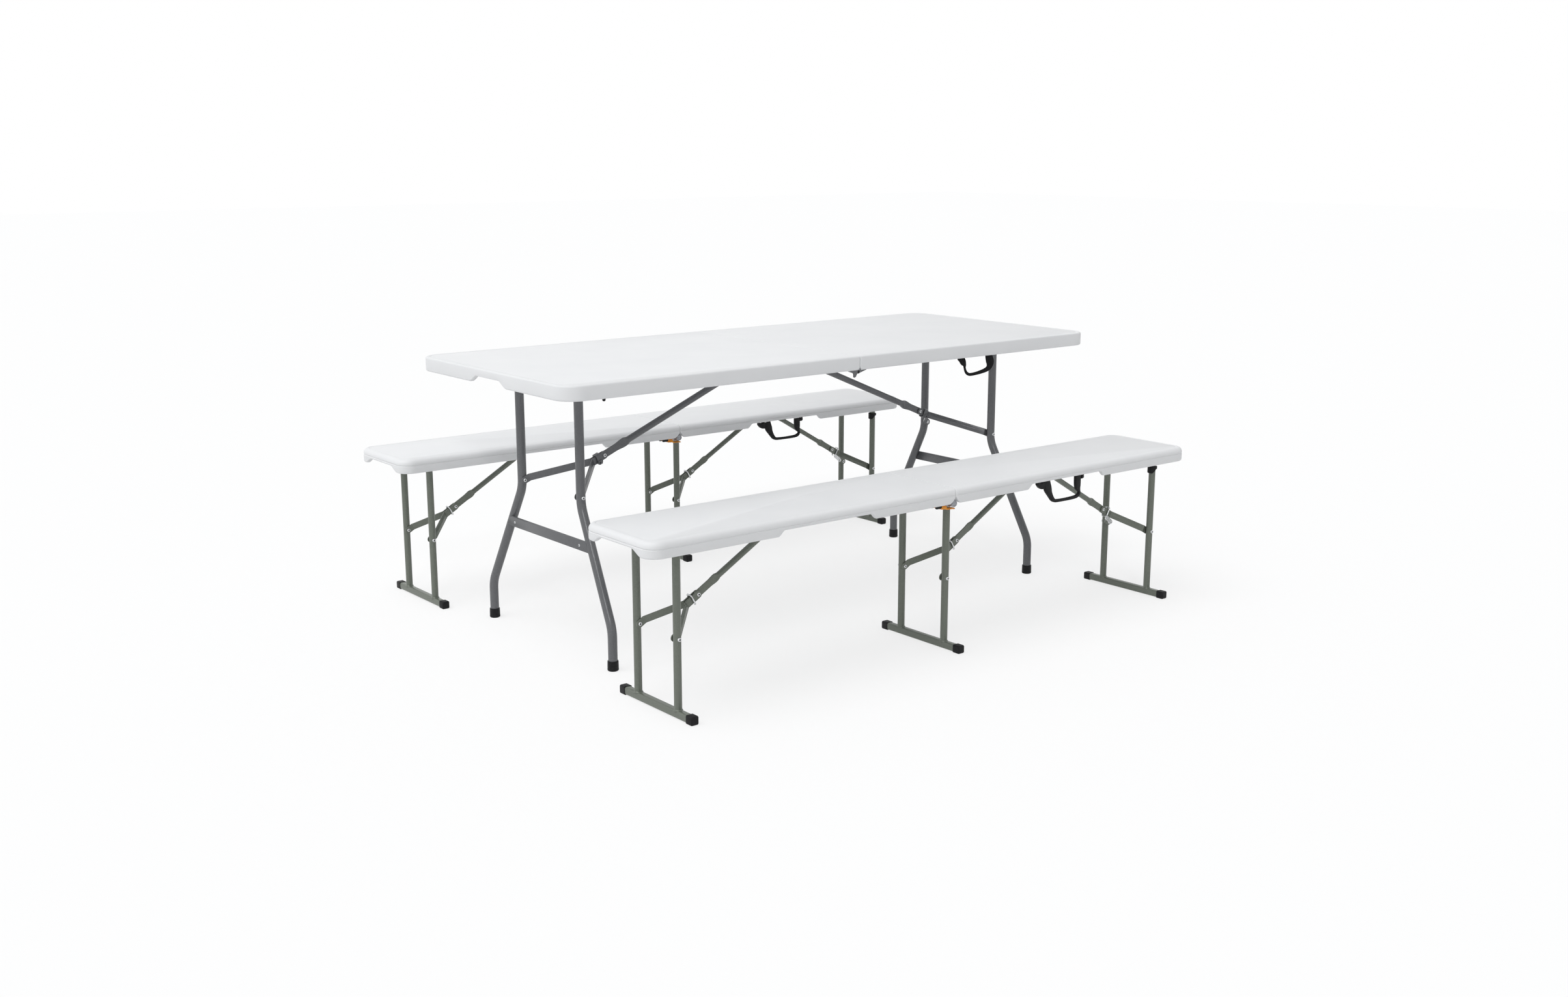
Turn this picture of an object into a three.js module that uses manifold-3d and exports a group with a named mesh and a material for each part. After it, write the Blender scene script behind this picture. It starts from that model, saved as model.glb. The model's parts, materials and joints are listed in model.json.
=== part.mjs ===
import * as THREE from 'three';
import { mergeVertices } from 'three/addons/utils/BufferGeometryUtils.js';
import Module from 'manifold-3d';

const wasm = await Module();
wasm.setup();

// Fits shared by all three pieces, in millimetres
const CLEARANCE = 0.3;
const SEAM_GAP = 0.8;
const SEAM_CORNER = 10;
const TUBE_SIDES = 10;
const SMALL_SIDES = 8;
const SMALL_ROD_R = 7;
const BEND_STEPS = 3;
const CORNER_STEPS = 3;
const EDGE_STEPS = 2;
const OVERRUN = 2;
const GRIP_RUN_TO_RISE = 2.3;
const ROOM_RUN_TO_RISE = 1.3;

// Table top
const TABLE_LENGTH = 1830;
const TABLE_WIDTH = 750;
const TABLE_HEIGHT = 740;
const TABLE_SKIRT = 38;
const TABLE_PLATE = 11;
const TABLE_WALL = 12;
const TABLE_CORNER = 55;
const TABLE_EDGE = 5;
const TABLE_GRIP_HALF = 54;
const TABLE_GRIP_RISE = 17;
const TABLE_HINGE_R = 7;
const TABLE_KNUCKLE_WALL = 4;
const TABLE_KNUCKLE_WIDTH = 60;
const TABLE_KNUCKLE_OUTER_Y = 278;
const TABLE_KNUCKLE_INNER_Y = 206;

// Table leg frames
const TABLE_LEG_INSET = 174;
const TABLE_TUBE_R = 12;
const TABLE_TUBE_HALF_SPACING = 148;
const TABLE_FOOT_HALF_SPACING = 303;
const TABLE_FOOT_OUTSET = 14;
const TABLE_UPPER_BEND_Z = 395;
const TABLE_LOWER_BEND_Z = 105;
const TABLE_SPLAY_BEND_R = 90;
const TABLE_TOP_BEND_R = 26;
const TABLE_SADDLE_FROM_BEND = 30;
const TABLE_FOLDED_GAP = 1.5;
const TABLE_CROSSBAR_Z = 297;
const TABLE_CROSSBAR_HEIGHT = 28;
const TABLE_CROSSBAR_THICK = 8;
const TABLE_CROSSBAR_END_GAP = 5;
const TABLE_CROSSBAR_RIVET_INSET = 37;
const TABLE_CROSSBAR_RIVET_R = 4;
const TABLE_FOOT_R = 14.5;
const TABLE_FOOT_HEIGHT = 26;
const TABLE_FOOT_FLOOR = 6;

// Table folding braces
const TABLE_ANCHOR_FROM_SEAM = 30;
const TABLE_RIVET_DROP = 297;
const TABLE_ARM_HEIGHT = 20;
const TABLE_BRACE_R = 9;
const TABLE_BLADE_LENGTH = 88;
const TABLE_EYE_LENGTH = 27;
const TABLE_COLLAR_DEPTH = 15;
const TABLE_COLLAR_GAP = 0.4;

// Benches
const BENCH_LENGTH = 1868;
const BENCH_WIDTH = 280;
const BENCH_HEIGHT = 440;
const BENCH_SKIRT = 40;
const BENCH_PLATE = 12;
const BENCH_WALL = 12;
const BENCH_CORNER = 38;
const BENCH_EDGE = 6;
const BENCH_GRIP_HALF = 62;
const BENCH_GRIP_RISE = 16;
const BENCH_HINGE_R = 9;
const BENCH_KNUCKLE_WALL = 3.6;
const BENCH_KNUCKLE_WIDTH = 22;
const BENCH_KNUCKLE_OUTER_Y = 104;
const BENCH_KNUCKLE_INNER_Y = 77;
const BENCH_OFFSET = 606;
const BENCH_FOLD_ROOM_FROM = 285;
const BENCH_FOLD_ROOM_TO = 555;
const BENCH_FOLD_ROOM_GAP = 1.3;

// Bench leg frames
const BENCH_LEFT_LEG_INSET = 108;
const BENCH_MIDDLE_LEG_FROM_SEAM = 23.5;
const BENCH_RIGHT_LEG_INSET = 82;
const BENCH_TUBE_R = 9.5;
const BENCH_TUBE_HALF_SPACING = 82;
const BENCH_TOP_BEND_R = 20;
const BENCH_SADDLE_FROM_BEND = 11;
const BENCH_FOLDED_GAP = 15.2;
const BENCH_BAR_R = 9.5;
const BENCH_BAR_HALF_LENGTH = 149;
const BENCH_CAP_R = 10.8;
const BENCH_CAP_LENGTH = 22;

// Bench folding braces
const BENCH_ANCHOR_GAP = 98.5;
const BENCH_RIVET_DROP = 212;
const BENCH_ARM_HEIGHT = 19;
const BENCH_BRACE_R = 7.5;
const BENCH_BLADE_LENGTH = 74;
const BENCH_EYE_LENGTH = 22;
const BENCH_RING_DEPTH = 4;
const BENCH_RING_GAP = 2.7;

// Parts that the folding braces have in common
const ARM_THICK = 3;
const BLADE_THICK = 4;
const SLOT = 5.2;
const KNEE_PIN_R = 4;
const RIVET_R = 5;
const RIVET_HEAD = 2.5;
const RIVET_SINK = 1;
const ARM_STRAIGHT = 16;
const ARM_PARALLEL = 38;
const RING_FROM_KNEE = 20;
const RING_TRAVEL = 10;
const RING_WALL = 3.5;
const RING_SIDE_GAP = 1;
const ROD_R = 4;
const ROD_HALF_LENGTH = 27;
const BOSS_INNER = 14;
const BOSS_THICK = 11;
const BOSS_WALL = 4;
const EYE_THICK = 8;
const SADDLE_THICK = 16;
const SADDLE_WALL = 4;

// Carrying handles and seat latches
const HANDLE_WIDTH = 150;
const HANDLE_DROP = 58;
const HANDLE_STRAP = 7;
const HANDLE_SIDE = 13;
const HANDLE_DEPTH = 10;
const HANDLE_PIN_R = 3;
const HANDLE_PIN_LENGTH = 8;
const HANDLE_EAR = 6;
const HANDLE_SWING_GAP = 1;
const LUG_THICK = 8;
const TABLE_HANDLE_FROM_SEAM = 381;
const BENCH_HANDLE_FROM_SEAM = 346;
const TABLE_HANDLE_RISE = 6;
const BENCH_HANDLE_RISE = 4;
const LATCH_PIVOT_FROM_SEAM = 48;
const LATCH_LENGTH = 32;
const LATCH_WIDTH = 14;
const LATCH_THICK = 5;
const LATCH_BARREL_R = 5;

function material(name, color, roughness, metalness) {
  return new THREE.MeshStandardMaterial({ name, color, roughness, metalness });
}

const MATERIALS = {
  white_hdpe: material('white_hdpe', 0xe6e7e8, 0.55, 0),
  dark_steel: material('dark_steel', 0x4c4e52, 0.5, 0.6),
  grey_steel: material('grey_steel', 0x6b7066, 0.5, 0.5),
  zinc_steel: material('zinc_steel', 0xc3c6c8, 0.3, 0.9),
  black_plastic: material('black_plastic', 0x101112, 0.6, 0),
  orange_plastic: material('orange_plastic', 0xf29a1c, 0.5, 0),
};

const X_AXIS = new THREE.Vector3(1, 0, 0);
const Y_AXIS = new THREE.Vector3(0, 1, 0);
const Z_AXIS = new THREE.Vector3(0, 0, 1);

// Turning geometry into solids and back
function solid(geometry) {
  const bare = geometry.index ? geometry.toNonIndexed() : geometry.clone();
  bare.deleteAttribute('normal');
  bare.deleteAttribute('uv');
  const merged = mergeVertices(bare, 1e-4);
  return new wasm.Manifold(new wasm.Mesh({
    numProp: 3,
    vertProperties: new Float32Array(merged.attributes.position.array),
    triVerts: new Uint32Array(merged.index.array),
  }));
}

function geometryOf(body) {
  const found = body.getMesh();
  const geometry = new THREE.BufferGeometry();
  geometry.setAttribute('position', new THREE.BufferAttribute(new Float32Array(found.vertProperties), 3));
  geometry.setIndex(new THREE.BufferAttribute(new Uint32Array(found.triVerts), 1));
  geometry.computeVertexNormals();
  return geometry;
}

function unite(bodies) {
  return bodies.reduce((sum, body) => sum.add(body));
}

// Placing geometry: its own x and y axes are laid along the two given directions
function place(geometry, origin, xAxis, yAxis) {
  const zAxis = new THREE.Vector3().crossVectors(xAxis, yAxis);
  const matrix = new THREE.Matrix4().makeBasis(xAxis, yAxis, zAxis);
  matrix.setPosition(origin);
  return geometry.applyMatrix4(matrix);
}

function block(x0, x1, y0, y1, z0, z1) {
  const box = new THREE.BoxGeometry(Math.abs(x1 - x0), Math.abs(y1 - y0), Math.abs(z1 - z0));
  box.translate((x0 + x1) / 2, (y0 + y1) / 2, (z0 + z1) / 2);
  return solid(box);
}

function sidesFor(radius) {
  return radius < SMALL_ROD_R ? SMALL_SIDES : TUBE_SIDES;
}

// A faceted bore stands clear of the rod in it at every angle of turn
function boreFor(radius) {
  return (radius + CLEARANCE) / Math.cos(Math.PI / sidesFor(radius));
}

function rodAlongY(x, z, radius, y0, y1) {
  const sides = sidesFor(radius);
  const rod = new THREE.CylinderGeometry(radius, radius, Math.abs(y1 - y0), sides);
  rod.translate(x, (y0 + y1) / 2, z);
  return solid(rod);
}

function rodAlongX(y, z, radius, x0, x1) {
  const rod = new THREE.CylinderGeometry(radius, radius, Math.abs(x1 - x0), sidesFor(radius));
  rod.rotateZ(Math.PI / 2);
  rod.translate((x0 + x1) / 2, y, z);
  return solid(rod);
}

function centredPrism(shape, depth) {
  const options = { depth, bevelEnabled: false, curveSegments: EDGE_STEPS };
  const prism = new THREE.ExtrudeGeometry(shape, options);
  prism.translate(0, 0, -depth / 2);
  return prism;
}

// A bent tube: straight runs between stations, with a curve at each bend
class Route extends THREE.Curve {
  constructor(stations) {
    super();
    this.stations = stations;
  }

  getPoint(t) {
    const along = t * (this.stations.length - 1);
    const index = Math.min(Math.floor(along), this.stations.length - 2);
    return this.stations[index].clone().lerp(this.stations[index + 1], along - index);
  }

  getTangent(t) {
    const index = Math.round(t * (this.stations.length - 1));
    const here = this.stations[index];
    const tangent = new THREE.Vector3();
    if (index > 0) {
      tangent.add(here.clone().sub(this.stations[index - 1]).normalize());
    }
    if (index < this.stations.length - 1) {
      tangent.add(this.stations[index + 1].clone().sub(here).normalize());
    }
    return tangent.normalize();
  }

  getUtoTmapping(u) {
    return u;
  }
}

function bentTube(corners, radius) {
  const stations = [corners[0].at];
  for (let i = 1; i < corners.length - 1; i += 1) {
    const { at, bend } = corners[i];
    const back = corners[i - 1].at.clone().sub(at).normalize();
    const ahead = corners[i + 1].at.clone().sub(at).normalize();
    const run = bend / Math.tan(back.angleTo(ahead) / 2);
    const start = at.clone().addScaledVector(back, run);
    const end = at.clone().addScaledVector(ahead, run);
    stations.push(...new THREE.QuadraticBezierCurve3(start, at, end).getPoints(BEND_STEPS));
  }
  stations.push(corners[corners.length - 1].at);
  const section = new THREE.Shape(circlePoints(radius, TUBE_SIDES));
  const extrudePath = new Route(stations);
  return solid(new THREE.ExtrudeGeometry(section, { steps: stations.length - 1, extrudePath }));
}

function circlePoints(radius, count) {
  return Array.from({ length: count }, (_, i) => {
    const turn = (2 * Math.PI * i) / count;
    return new THREE.Vector2(radius * Math.cos(turn), radius * Math.sin(turn));
  });
}

// Outlines
function panelOutline(x0, x1, halfWidth, corner0, corner1) {
  const shape = new THREE.Shape();
  const quarter = Math.PI / 2;
  shape.absarc(x1 - corner1, corner1 - halfWidth, corner1, -quarter, 0);
  shape.absarc(x1 - corner1, halfWidth - corner1, corner1, 0, quarter);
  shape.absarc(x0 + corner0, halfWidth - corner0, corner0, quarter, 2 * quarter);
  shape.absarc(x0 + corner0, corner0 - halfWidth, corner0, 2 * quarter, 3 * quarter);
  return shape;
}

function stadium(from, to, height) {
  const shape = new THREE.Shape();
  const quarter = Math.PI / 2;
  const end = height / 2;
  shape.absarc(to, 0, end, -quarter, quarter);
  shape.absarc(from, 0, end, quarter, 3 * quarter);
  return shape;
}

function notchOutline(from, to, bottom, top, runToRise) {
  const slope = runToRise * (top - bottom);
  const half = slope / 2;
  const shape = new THREE.Shape();
  shape.moveTo(from - slope, bottom - OVERRUN);
  shape.lineTo(to + slope, bottom - OVERRUN);
  shape.lineTo(to + slope, bottom);
  shape.bezierCurveTo(to + half, bottom, to + half, top, to, top);
  shape.lineTo(from, top);
  shape.bezierCurveTo(from - half, top, from - half, bottom, from - slope, bottom);
  return shape;
}

// The measures that the table and a bench share, so that one set of functions makes both
const TABLE = {
  length: TABLE_LENGTH,
  width: TABLE_WIDTH,
  height: TABLE_HEIGHT,
  bottom: TABLE_HEIGHT - TABLE_SKIRT,
  ceiling: TABLE_HEIGHT - TABLE_PLATE,
  wall: TABLE_WALL,
  corner: TABLE_CORNER,
  edge: TABLE_EDGE,
  gripHalf: TABLE_GRIP_HALF,
  gripRise: TABLE_GRIP_RISE,
  hingeR: TABLE_HINGE_R,
  knuckleR: TABLE_HINGE_R + TABLE_KNUCKLE_WALL,
  knuckleHalfWidth: TABLE_KNUCKLE_WIDTH / 2,
  leftKnuckles: [-TABLE_KNUCKLE_OUTER_Y, 0, TABLE_KNUCKLE_OUTER_Y],
  rightKnuckles: [-TABLE_KNUCKLE_INNER_Y, TABLE_KNUCKLE_INNER_Y],
  tubeR: TABLE_TUBE_R,
  halfSpacing: TABLE_TUBE_HALF_SPACING,
  saddleY: TABLE_TUBE_HALF_SPACING - TABLE_TOP_BEND_R - TABLE_SADDLE_FROM_BEND,
  pivotZ: TABLE_HEIGHT - TABLE_PLATE - TABLE_FOLDED_GAP - TABLE_FOOT_R,
  rivetDrop: TABLE_RIVET_DROP,
  armHeight: TABLE_ARM_HEIGHT,
  braceR: TABLE_BRACE_R,
  bladeLength: TABLE_BLADE_LENGTH,
  eyeLength: TABLE_EYE_LENGTH,
  ringDepth: TABLE_COLLAR_DEPTH,
  ringGap: TABLE_COLLAR_GAP,
};

const BENCH = {
  length: BENCH_LENGTH,
  width: BENCH_WIDTH,
  height: BENCH_HEIGHT,
  bottom: BENCH_HEIGHT - BENCH_SKIRT,
  ceiling: BENCH_HEIGHT - BENCH_PLATE,
  wall: BENCH_WALL,
  corner: BENCH_CORNER,
  edge: BENCH_EDGE,
  gripHalf: BENCH_GRIP_HALF,
  gripRise: BENCH_GRIP_RISE,
  hingeR: BENCH_HINGE_R,
  knuckleR: BENCH_HINGE_R + BENCH_KNUCKLE_WALL,
  knuckleHalfWidth: BENCH_KNUCKLE_WIDTH / 2,
  leftKnuckles: [-BENCH_KNUCKLE_OUTER_Y, 0, BENCH_KNUCKLE_OUTER_Y],
  rightKnuckles: [-BENCH_KNUCKLE_INNER_Y, BENCH_KNUCKLE_INNER_Y],
  tubeR: BENCH_TUBE_R,
  halfSpacing: BENCH_TUBE_HALF_SPACING,
  saddleY: BENCH_TUBE_HALF_SPACING - BENCH_TOP_BEND_R - BENCH_SADDLE_FROM_BEND,
  pivotZ: BENCH_HEIGHT - BENCH_PLATE - BENCH_FOLDED_GAP - BENCH_CAP_R,
  rivetDrop: BENCH_RIVET_DROP,
  armHeight: BENCH_ARM_HEIGHT,
  braceR: BENCH_BRACE_R,
  bladeLength: BENCH_BLADE_LENGTH,
  eyeLength: BENCH_EYE_LENGTH,
  ringDepth: BENCH_RING_DEPTH,
  ringGap: BENCH_RING_GAP,
};

const TABLE_LEG_X = TABLE_LENGTH / 2 - TABLE_LEG_INSET;
const TABLE_BRACE_REACH = TABLE_LEG_X - TABLE_ANCHOR_FROM_SEAM;
const BENCH_LEFT_LEG_X = BENCH_LEFT_LEG_INSET - BENCH_LENGTH / 2;
const BENCH_RIGHT_LEG_X = BENCH_LENGTH / 2 - BENCH_RIGHT_LEG_INSET;
const BENCH_BRACE_REACH = (BENCH_RIGHT_LEG_X - BENCH_MIDDLE_LEG_FROM_SEAM - BENCH_ANCHOR_GAP) / 2;

// A leg set: where its pivot stands, which way it folds and where its brace is anchored
function legSet(name, family, x, fold, reach) {
  const span = Math.hypot(reach, family.rivetDrop);
  const along = new THREE.Vector3((fold * reach) / span, 0, family.rivetDrop / span);
  const rivet = new THREE.Vector3(x, 0, family.pivotZ - family.rivetDrop);
  const forkLength = (span - reach + family.rivetDrop) / 2;
  return {
    name,
    family,
    x,
    fold,
    anchorX: x + fold * reach,
    along,
    under: new THREE.Vector3().crossVectors(along, Y_AXIS).multiplyScalar(-fold),
    rivet,
    knee: rivet.clone().addScaledVector(along, forkLength),
    forkLength,
    braceLength: span - forkLength,
  };
}

const TABLE_LEGS = [
  legSet('left', TABLE, -TABLE_LEG_X, 1, TABLE_BRACE_REACH),
  legSet('right', TABLE, TABLE_LEG_X, -1, TABLE_BRACE_REACH),
];

const BENCH_LEGS = [
  legSet('left', BENCH, BENCH_LEFT_LEG_X, 1, BENCH_BRACE_REACH),
  legSet('middle', BENCH, BENCH_MIDDLE_LEG_FROM_SEAM, 1, BENCH_BRACE_REACH),
  legSet('right', BENCH, BENCH_RIGHT_LEG_X, -1, BENCH_BRACE_REACH),
];

// Moulded halves: a skirted panel with saddles for the leg pivots and bosses for the brace rods
function knuckles(family, places, radius, halfWidth) {
  return places.map((y) => rodAlongY(0, family.bottom, radius, y - halfWidth, y + halfWidth));
}

function panel(family, side) {
  const { length, width, height, bottom, ceiling, wall, corner, edge } = family;
  const seam = (side * SEAM_GAP) / 2;
  const end = (side * length) / 2;
  const x0 = Math.min(seam, end);
  const x1 = Math.max(seam, end);
  const corners = side < 0 ? [corner, SEAM_CORNER] : [SEAM_CORNER, corner];
  const outside = new THREE.ExtrudeGeometry(panelOutline(x0, x1, width / 2, ...corners), {
    depth: height - bottom - 2 * edge,
    bevelThickness: edge,
    bevelSize: edge,
    bevelOffset: -edge,
    bevelSegments: EDGE_STEPS,
    curveSegments: CORNER_STEPS,
  });
  outside.translate(0, 0, bottom + edge);
  const insideCorners = corners.map((radius) => Math.max(radius - wall, OVERRUN));
  const inside = new THREE.ExtrudeGeometry(
    panelOutline(x0 + wall, x1 - wall, width / 2 - wall, ...insideCorners),
    { depth: ceiling - bottom + OVERRUN, bevelEnabled: false, curveSegments: EDGE_STEPS },
  );
  inside.translate(0, 0, bottom - OVERRUN);
  const grip = centredPrism(
    notchOutline(-family.gripHalf, family.gripHalf, bottom, bottom + family.gripRise, GRIP_RUN_TO_RISE),
    2 * (wall + OVERRUN),
  );
  place(grip, new THREE.Vector3(end, 0, 0), Y_AXIS, Z_AXIS);
  return solid(outside).subtract(solid(inside)).subtract(solid(grip));
}

function saddles(leg) {
  const { tubeR, saddleY, pivotZ, ceiling } = leg.family;
  const half = tubeR + SADDLE_WALL;
  return [-saddleY, saddleY].map((y) => block(
    leg.x - half,
    leg.x + half,
    y - SADDLE_THICK / 2,
    y + SADDLE_THICK / 2,
    pivotZ - half,
    ceiling + OVERRUN,
  ));
}

function bosses(leg) {
  const { pivotZ, ceiling } = leg.family;
  const half = ROD_R + BOSS_WALL;
  return [-1, 1].map((face) => block(
    leg.anchorX - half,
    leg.anchorX + half,
    face * BOSS_INNER,
    face * (BOSS_INNER + BOSS_THICK),
    pivotZ - half,
    ceiling + OVERRUN,
  ));
}

function bores(leg) {
  const { tubeR, halfSpacing, pivotZ } = leg.family;
  return [
    rodAlongY(leg.x, pivotZ, boreFor(tubeR), -halfSpacing, halfSpacing),
    rodAlongY(leg.anchorX, pivotZ, boreFor(ROD_R), -ROD_HALF_LENGTH, ROD_HALF_LENGTH),
  ];
}

function moulding(family, side, legs, extras) {
  const { hingeR, knuckleR, knuckleHalfWidth, leftKnuckles, rightKnuckles, width } = family;
  const [own, other] = side < 0 ? [leftKnuckles, rightKnuckles] : [rightKnuckles, leftKnuckles];
  const reliefs = knuckles(family, other, boreFor(knuckleR), knuckleHalfWidth + CLEARANCE);
  const skirted = panel(family, side).subtract(unite([...reliefs, ...extras.skirtCuts]));
  const body = unite([
    skirted,
    ...knuckles(family, own, knuckleR, knuckleHalfWidth),
    ...legs.flatMap((leg) => [...saddles(leg), ...bosses(leg)]),
    ...extras.lugs,
  ]);
  const holes = [rodAlongY(0, family.bottom, boreFor(hingeR), -width, width), ...legs.flatMap(bores)];
  return unite([body.subtract(unite(holes)), ...extras.pins]);
}

function hingeRod(family) {
  const half = family.width / 2 - family.edge;
  return rodAlongY(0, family.bottom, family.hingeR, -half, half);
}

// Room in the side skirts of a seat for the foot bars of folded legs
function foldRoom(side) {
  const top = BENCH.pivotZ + BENCH_CAP_R + BENCH_FOLD_ROOM_GAP;
  const ends = [side * BENCH_FOLD_ROOM_FROM, side * BENCH_FOLD_ROOM_TO].sort((a, b) => a - b);
  const outline = notchOutline(...ends, BENCH.bottom, top, ROOM_RUN_TO_RISE);
  const prism = centredPrism(outline, BENCH.width + 2 * OVERRUN);
  return solid(place(prism, new THREE.Vector3(0, 0, 0), X_AXIS, Z_AXIS));
}

// Share of the splay that a table tube has at a height: none above the upper bend, all below the lower one
function splayShare(z) {
  const share = (TABLE_UPPER_BEND_Z - z) / (TABLE_UPPER_BEND_Z - TABLE_LOWER_BEND_Z);
  return Math.min(Math.max(share, 0), 1);
}

function tableTubeX(leg, z) {
  return leg.x - leg.fold * TABLE_FOOT_OUTSET * splayShare(z);
}

// Table leg tube, bent from foot to foot with the pivot bar as its top run
function tableTube(leg, radius) {
  const { pivotZ } = leg.family;
  const foot = TABLE_FOOT_FLOOR + CLEARANCE;
  const corner = (x, y, z, bend) => ({ at: new THREE.Vector3(x, y, z), bend });
  const footX = tableTubeX(leg, foot);
  const oneSide = (sign) => [
    corner(footX, sign * TABLE_FOOT_HALF_SPACING, foot),
    corner(footX, sign * TABLE_FOOT_HALF_SPACING, TABLE_LOWER_BEND_Z, TABLE_SPLAY_BEND_R),
    corner(leg.x, sign * TABLE_TUBE_HALF_SPACING, TABLE_UPPER_BEND_Z, TABLE_SPLAY_BEND_R),
    corner(leg.x, sign * TABLE_TUBE_HALF_SPACING, pivotZ, TABLE_TOP_BEND_R),
  ];
  return bentTube([...oneSide(-1), ...oneSide(1).reverse()], radius);
}

function tableLeg(leg) {
  return unite([tableTube(leg, leg.family.tubeR), ...legRivets(leg)]);
}

function legRivets(leg) {
  const { tubeR, halfSpacing } = leg.family;
  const outer = halfSpacing + tubeR;
  return [-1, 1].map((face) => rodAlongY(
    leg.rivet.x,
    leg.rivet.z,
    RIVET_R,
    face * (outer - RIVET_HEAD),
    face * (outer + RIVET_HEAD),
  ));
}

// Flat bar between the tubes, flush with their outer side and cut along their slope
function crossbar(leg) {
  const spread = TABLE_FOOT_HALF_SPACING - TABLE_TUBE_HALF_SPACING;
  const slope = spread / (TABLE_UPPER_BEND_Z - TABLE_LOWER_BEND_Z);
  const atTube = TABLE_TUBE_HALF_SPACING + spread * splayShare(TABLE_CROSSBAR_Z);
  const half = atTube - TABLE_CROSSBAR_END_GAP;
  const rise = TABLE_CROSSBAR_HEIGHT / 2;
  const outline = new THREE.Shape([
    new THREE.Vector2(-half - slope * rise, -rise),
    new THREE.Vector2(half + slope * rise, -rise),
    new THREE.Vector2(half - slope * rise, rise),
    new THREE.Vector2(slope * rise - half, rise),
  ]);
  const outward = -leg.fold;
  const face = tableTubeX(leg, TABLE_CROSSBAR_Z) + outward * TABLE_TUBE_R;
  const middle = face - (outward * TABLE_CROSSBAR_THICK) / 2;
  const bar = centredPrism(outline, TABLE_CROSSBAR_THICK);
  place(bar, new THREE.Vector3(middle, 0, TABLE_CROSSBAR_Z), Y_AXIS, Z_AXIS);
  const rivetY = atTube - TABLE_CROSSBAR_RIVET_INSET;
  const rivets = [-rivetY, rivetY].map((y) => rodAlongX(
    y,
    TABLE_CROSSBAR_Z,
    TABLE_CROSSBAR_RIVET_R,
    face - outward * RIVET_HEAD,
    face + outward * RIVET_HEAD,
  ));
  const room = tableTube(leg, TABLE_TUBE_R + CLEARANCE);
  return unite([solid(bar).subtract(room), ...rivets]);
}

function tableFoot(leg, sign) {
  const bore = boreFor(TABLE_TUBE_R);
  const bevel = TABLE_FOOT_R - OVERRUN;
  const profile = [
    [0, 0],
    [bevel, 0],
    [TABLE_FOOT_R, OVERRUN],
    [TABLE_FOOT_R, TABLE_FOOT_HEIGHT],
    [bore, TABLE_FOOT_HEIGHT],
    [bore, TABLE_FOOT_FLOOR],
    [0, TABLE_FOOT_FLOOR],
  ].map(([radius, z]) => new THREE.Vector2(radius, z));
  const cap = new THREE.LatheGeometry(profile, TUBE_SIDES);
  cap.rotateX(Math.PI / 2);
  cap.translate(tableTubeX(leg, 0), sign * TABLE_FOOT_HALF_SPACING, 0);
  return solid(cap);
}

// Bench leg frame: a bent tube whose top run is the pivot bar, on a foot bar with capped ends
function benchLeg(leg) {
  const { pivotZ, tubeR, halfSpacing } = leg.family;
  const corner = (y, z, bend) => ({ at: new THREE.Vector3(leg.x, y, z), bend });
  const tube = bentTube([
    corner(-halfSpacing, BENCH_CAP_R),
    corner(-halfSpacing, pivotZ, BENCH_TOP_BEND_R),
    corner(halfSpacing, pivotZ, BENCH_TOP_BEND_R),
    corner(halfSpacing, BENCH_CAP_R),
  ], tubeR);
  const end = BENCH_BAR_HALF_LENGTH;
  const shoulder = end - BENCH_CAP_LENGTH;
  const profile = [
    [0, -end],
    [BENCH_CAP_R - OVERRUN, -end],
    [BENCH_CAP_R, OVERRUN - end],
    [BENCH_CAP_R, -shoulder],
    [BENCH_BAR_R, -shoulder],
    [BENCH_BAR_R, shoulder],
    [BENCH_CAP_R, shoulder],
    [BENCH_CAP_R, end - OVERRUN],
    [BENCH_CAP_R - OVERRUN, end],
    [0, end],
  ].map(([radius, y]) => new THREE.Vector2(radius, y));
  const bar = new THREE.LatheGeometry(profile, TUBE_SIDES);
  bar.translate(leg.x, 0, BENCH_CAP_R);
  return unite([tube, solid(bar), ...legRivets(leg)]);
}

// Fork: two flat arms from the leg tubes to the knee, joined there by the knee pin
function fork(leg) {
  const { tubeR, halfSpacing, armHeight } = leg.family;
  const wide = halfSpacing - tubeR - CLEARANCE;
  const narrow = SLOT / 2 + ARM_THICK;
  const start = ARM_STRAIGHT;
  const finish = leg.forkLength - ARM_PARALLEL;
  const mitre = ARM_THICK * Math.tan(Math.atan2(wide - narrow, finish - start) / 2);
  const tail = armHeight / 2;
  const arms = [-1, 1].map((face) => {
    const outline = new THREE.Shape([
      [-tail, wide],
      [start, wide],
      [finish, narrow],
      [leg.forkLength + tail, narrow],
      [leg.forkLength + tail, narrow - ARM_THICK],
      [finish - mitre, narrow - ARM_THICK],
      [start - mitre, wide - ARM_THICK],
      [-tail, wide - ARM_THICK],
    ].map(([u, y]) => new THREE.Vector2(u, face * y)));
    return solid(place(centredPrism(outline, armHeight), leg.rivet, leg.along, Y_AXIS));
  });
  const rounding = centredPrism(stadium(0, leg.forkLength, armHeight), 2 * halfSpacing);
  const rounded = unite(arms).intersect(solid(place(rounding, leg.rivet, leg.along, leg.under)));
  const head = narrow + RIVET_HEAD;
  const pin = rodAlongY(leg.knee.x, leg.knee.z, KNEE_PIN_R, -head, head);
  const heads = [-1, 1].flatMap((face) => [
    rodAlongY(leg.knee.x, leg.knee.z, RIVET_R, face * (narrow - RIVET_SINK), face * head),
    rodAlongY(
      leg.rivet.x,
      leg.rivet.z,
      RIVET_R,
      face * (wide - ARM_THICK - RIVET_HEAD),
      face * (wide - RIVET_SINK),
    ),
  ]);
  return unite([rounded, pin, ...heads]);
}

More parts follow.
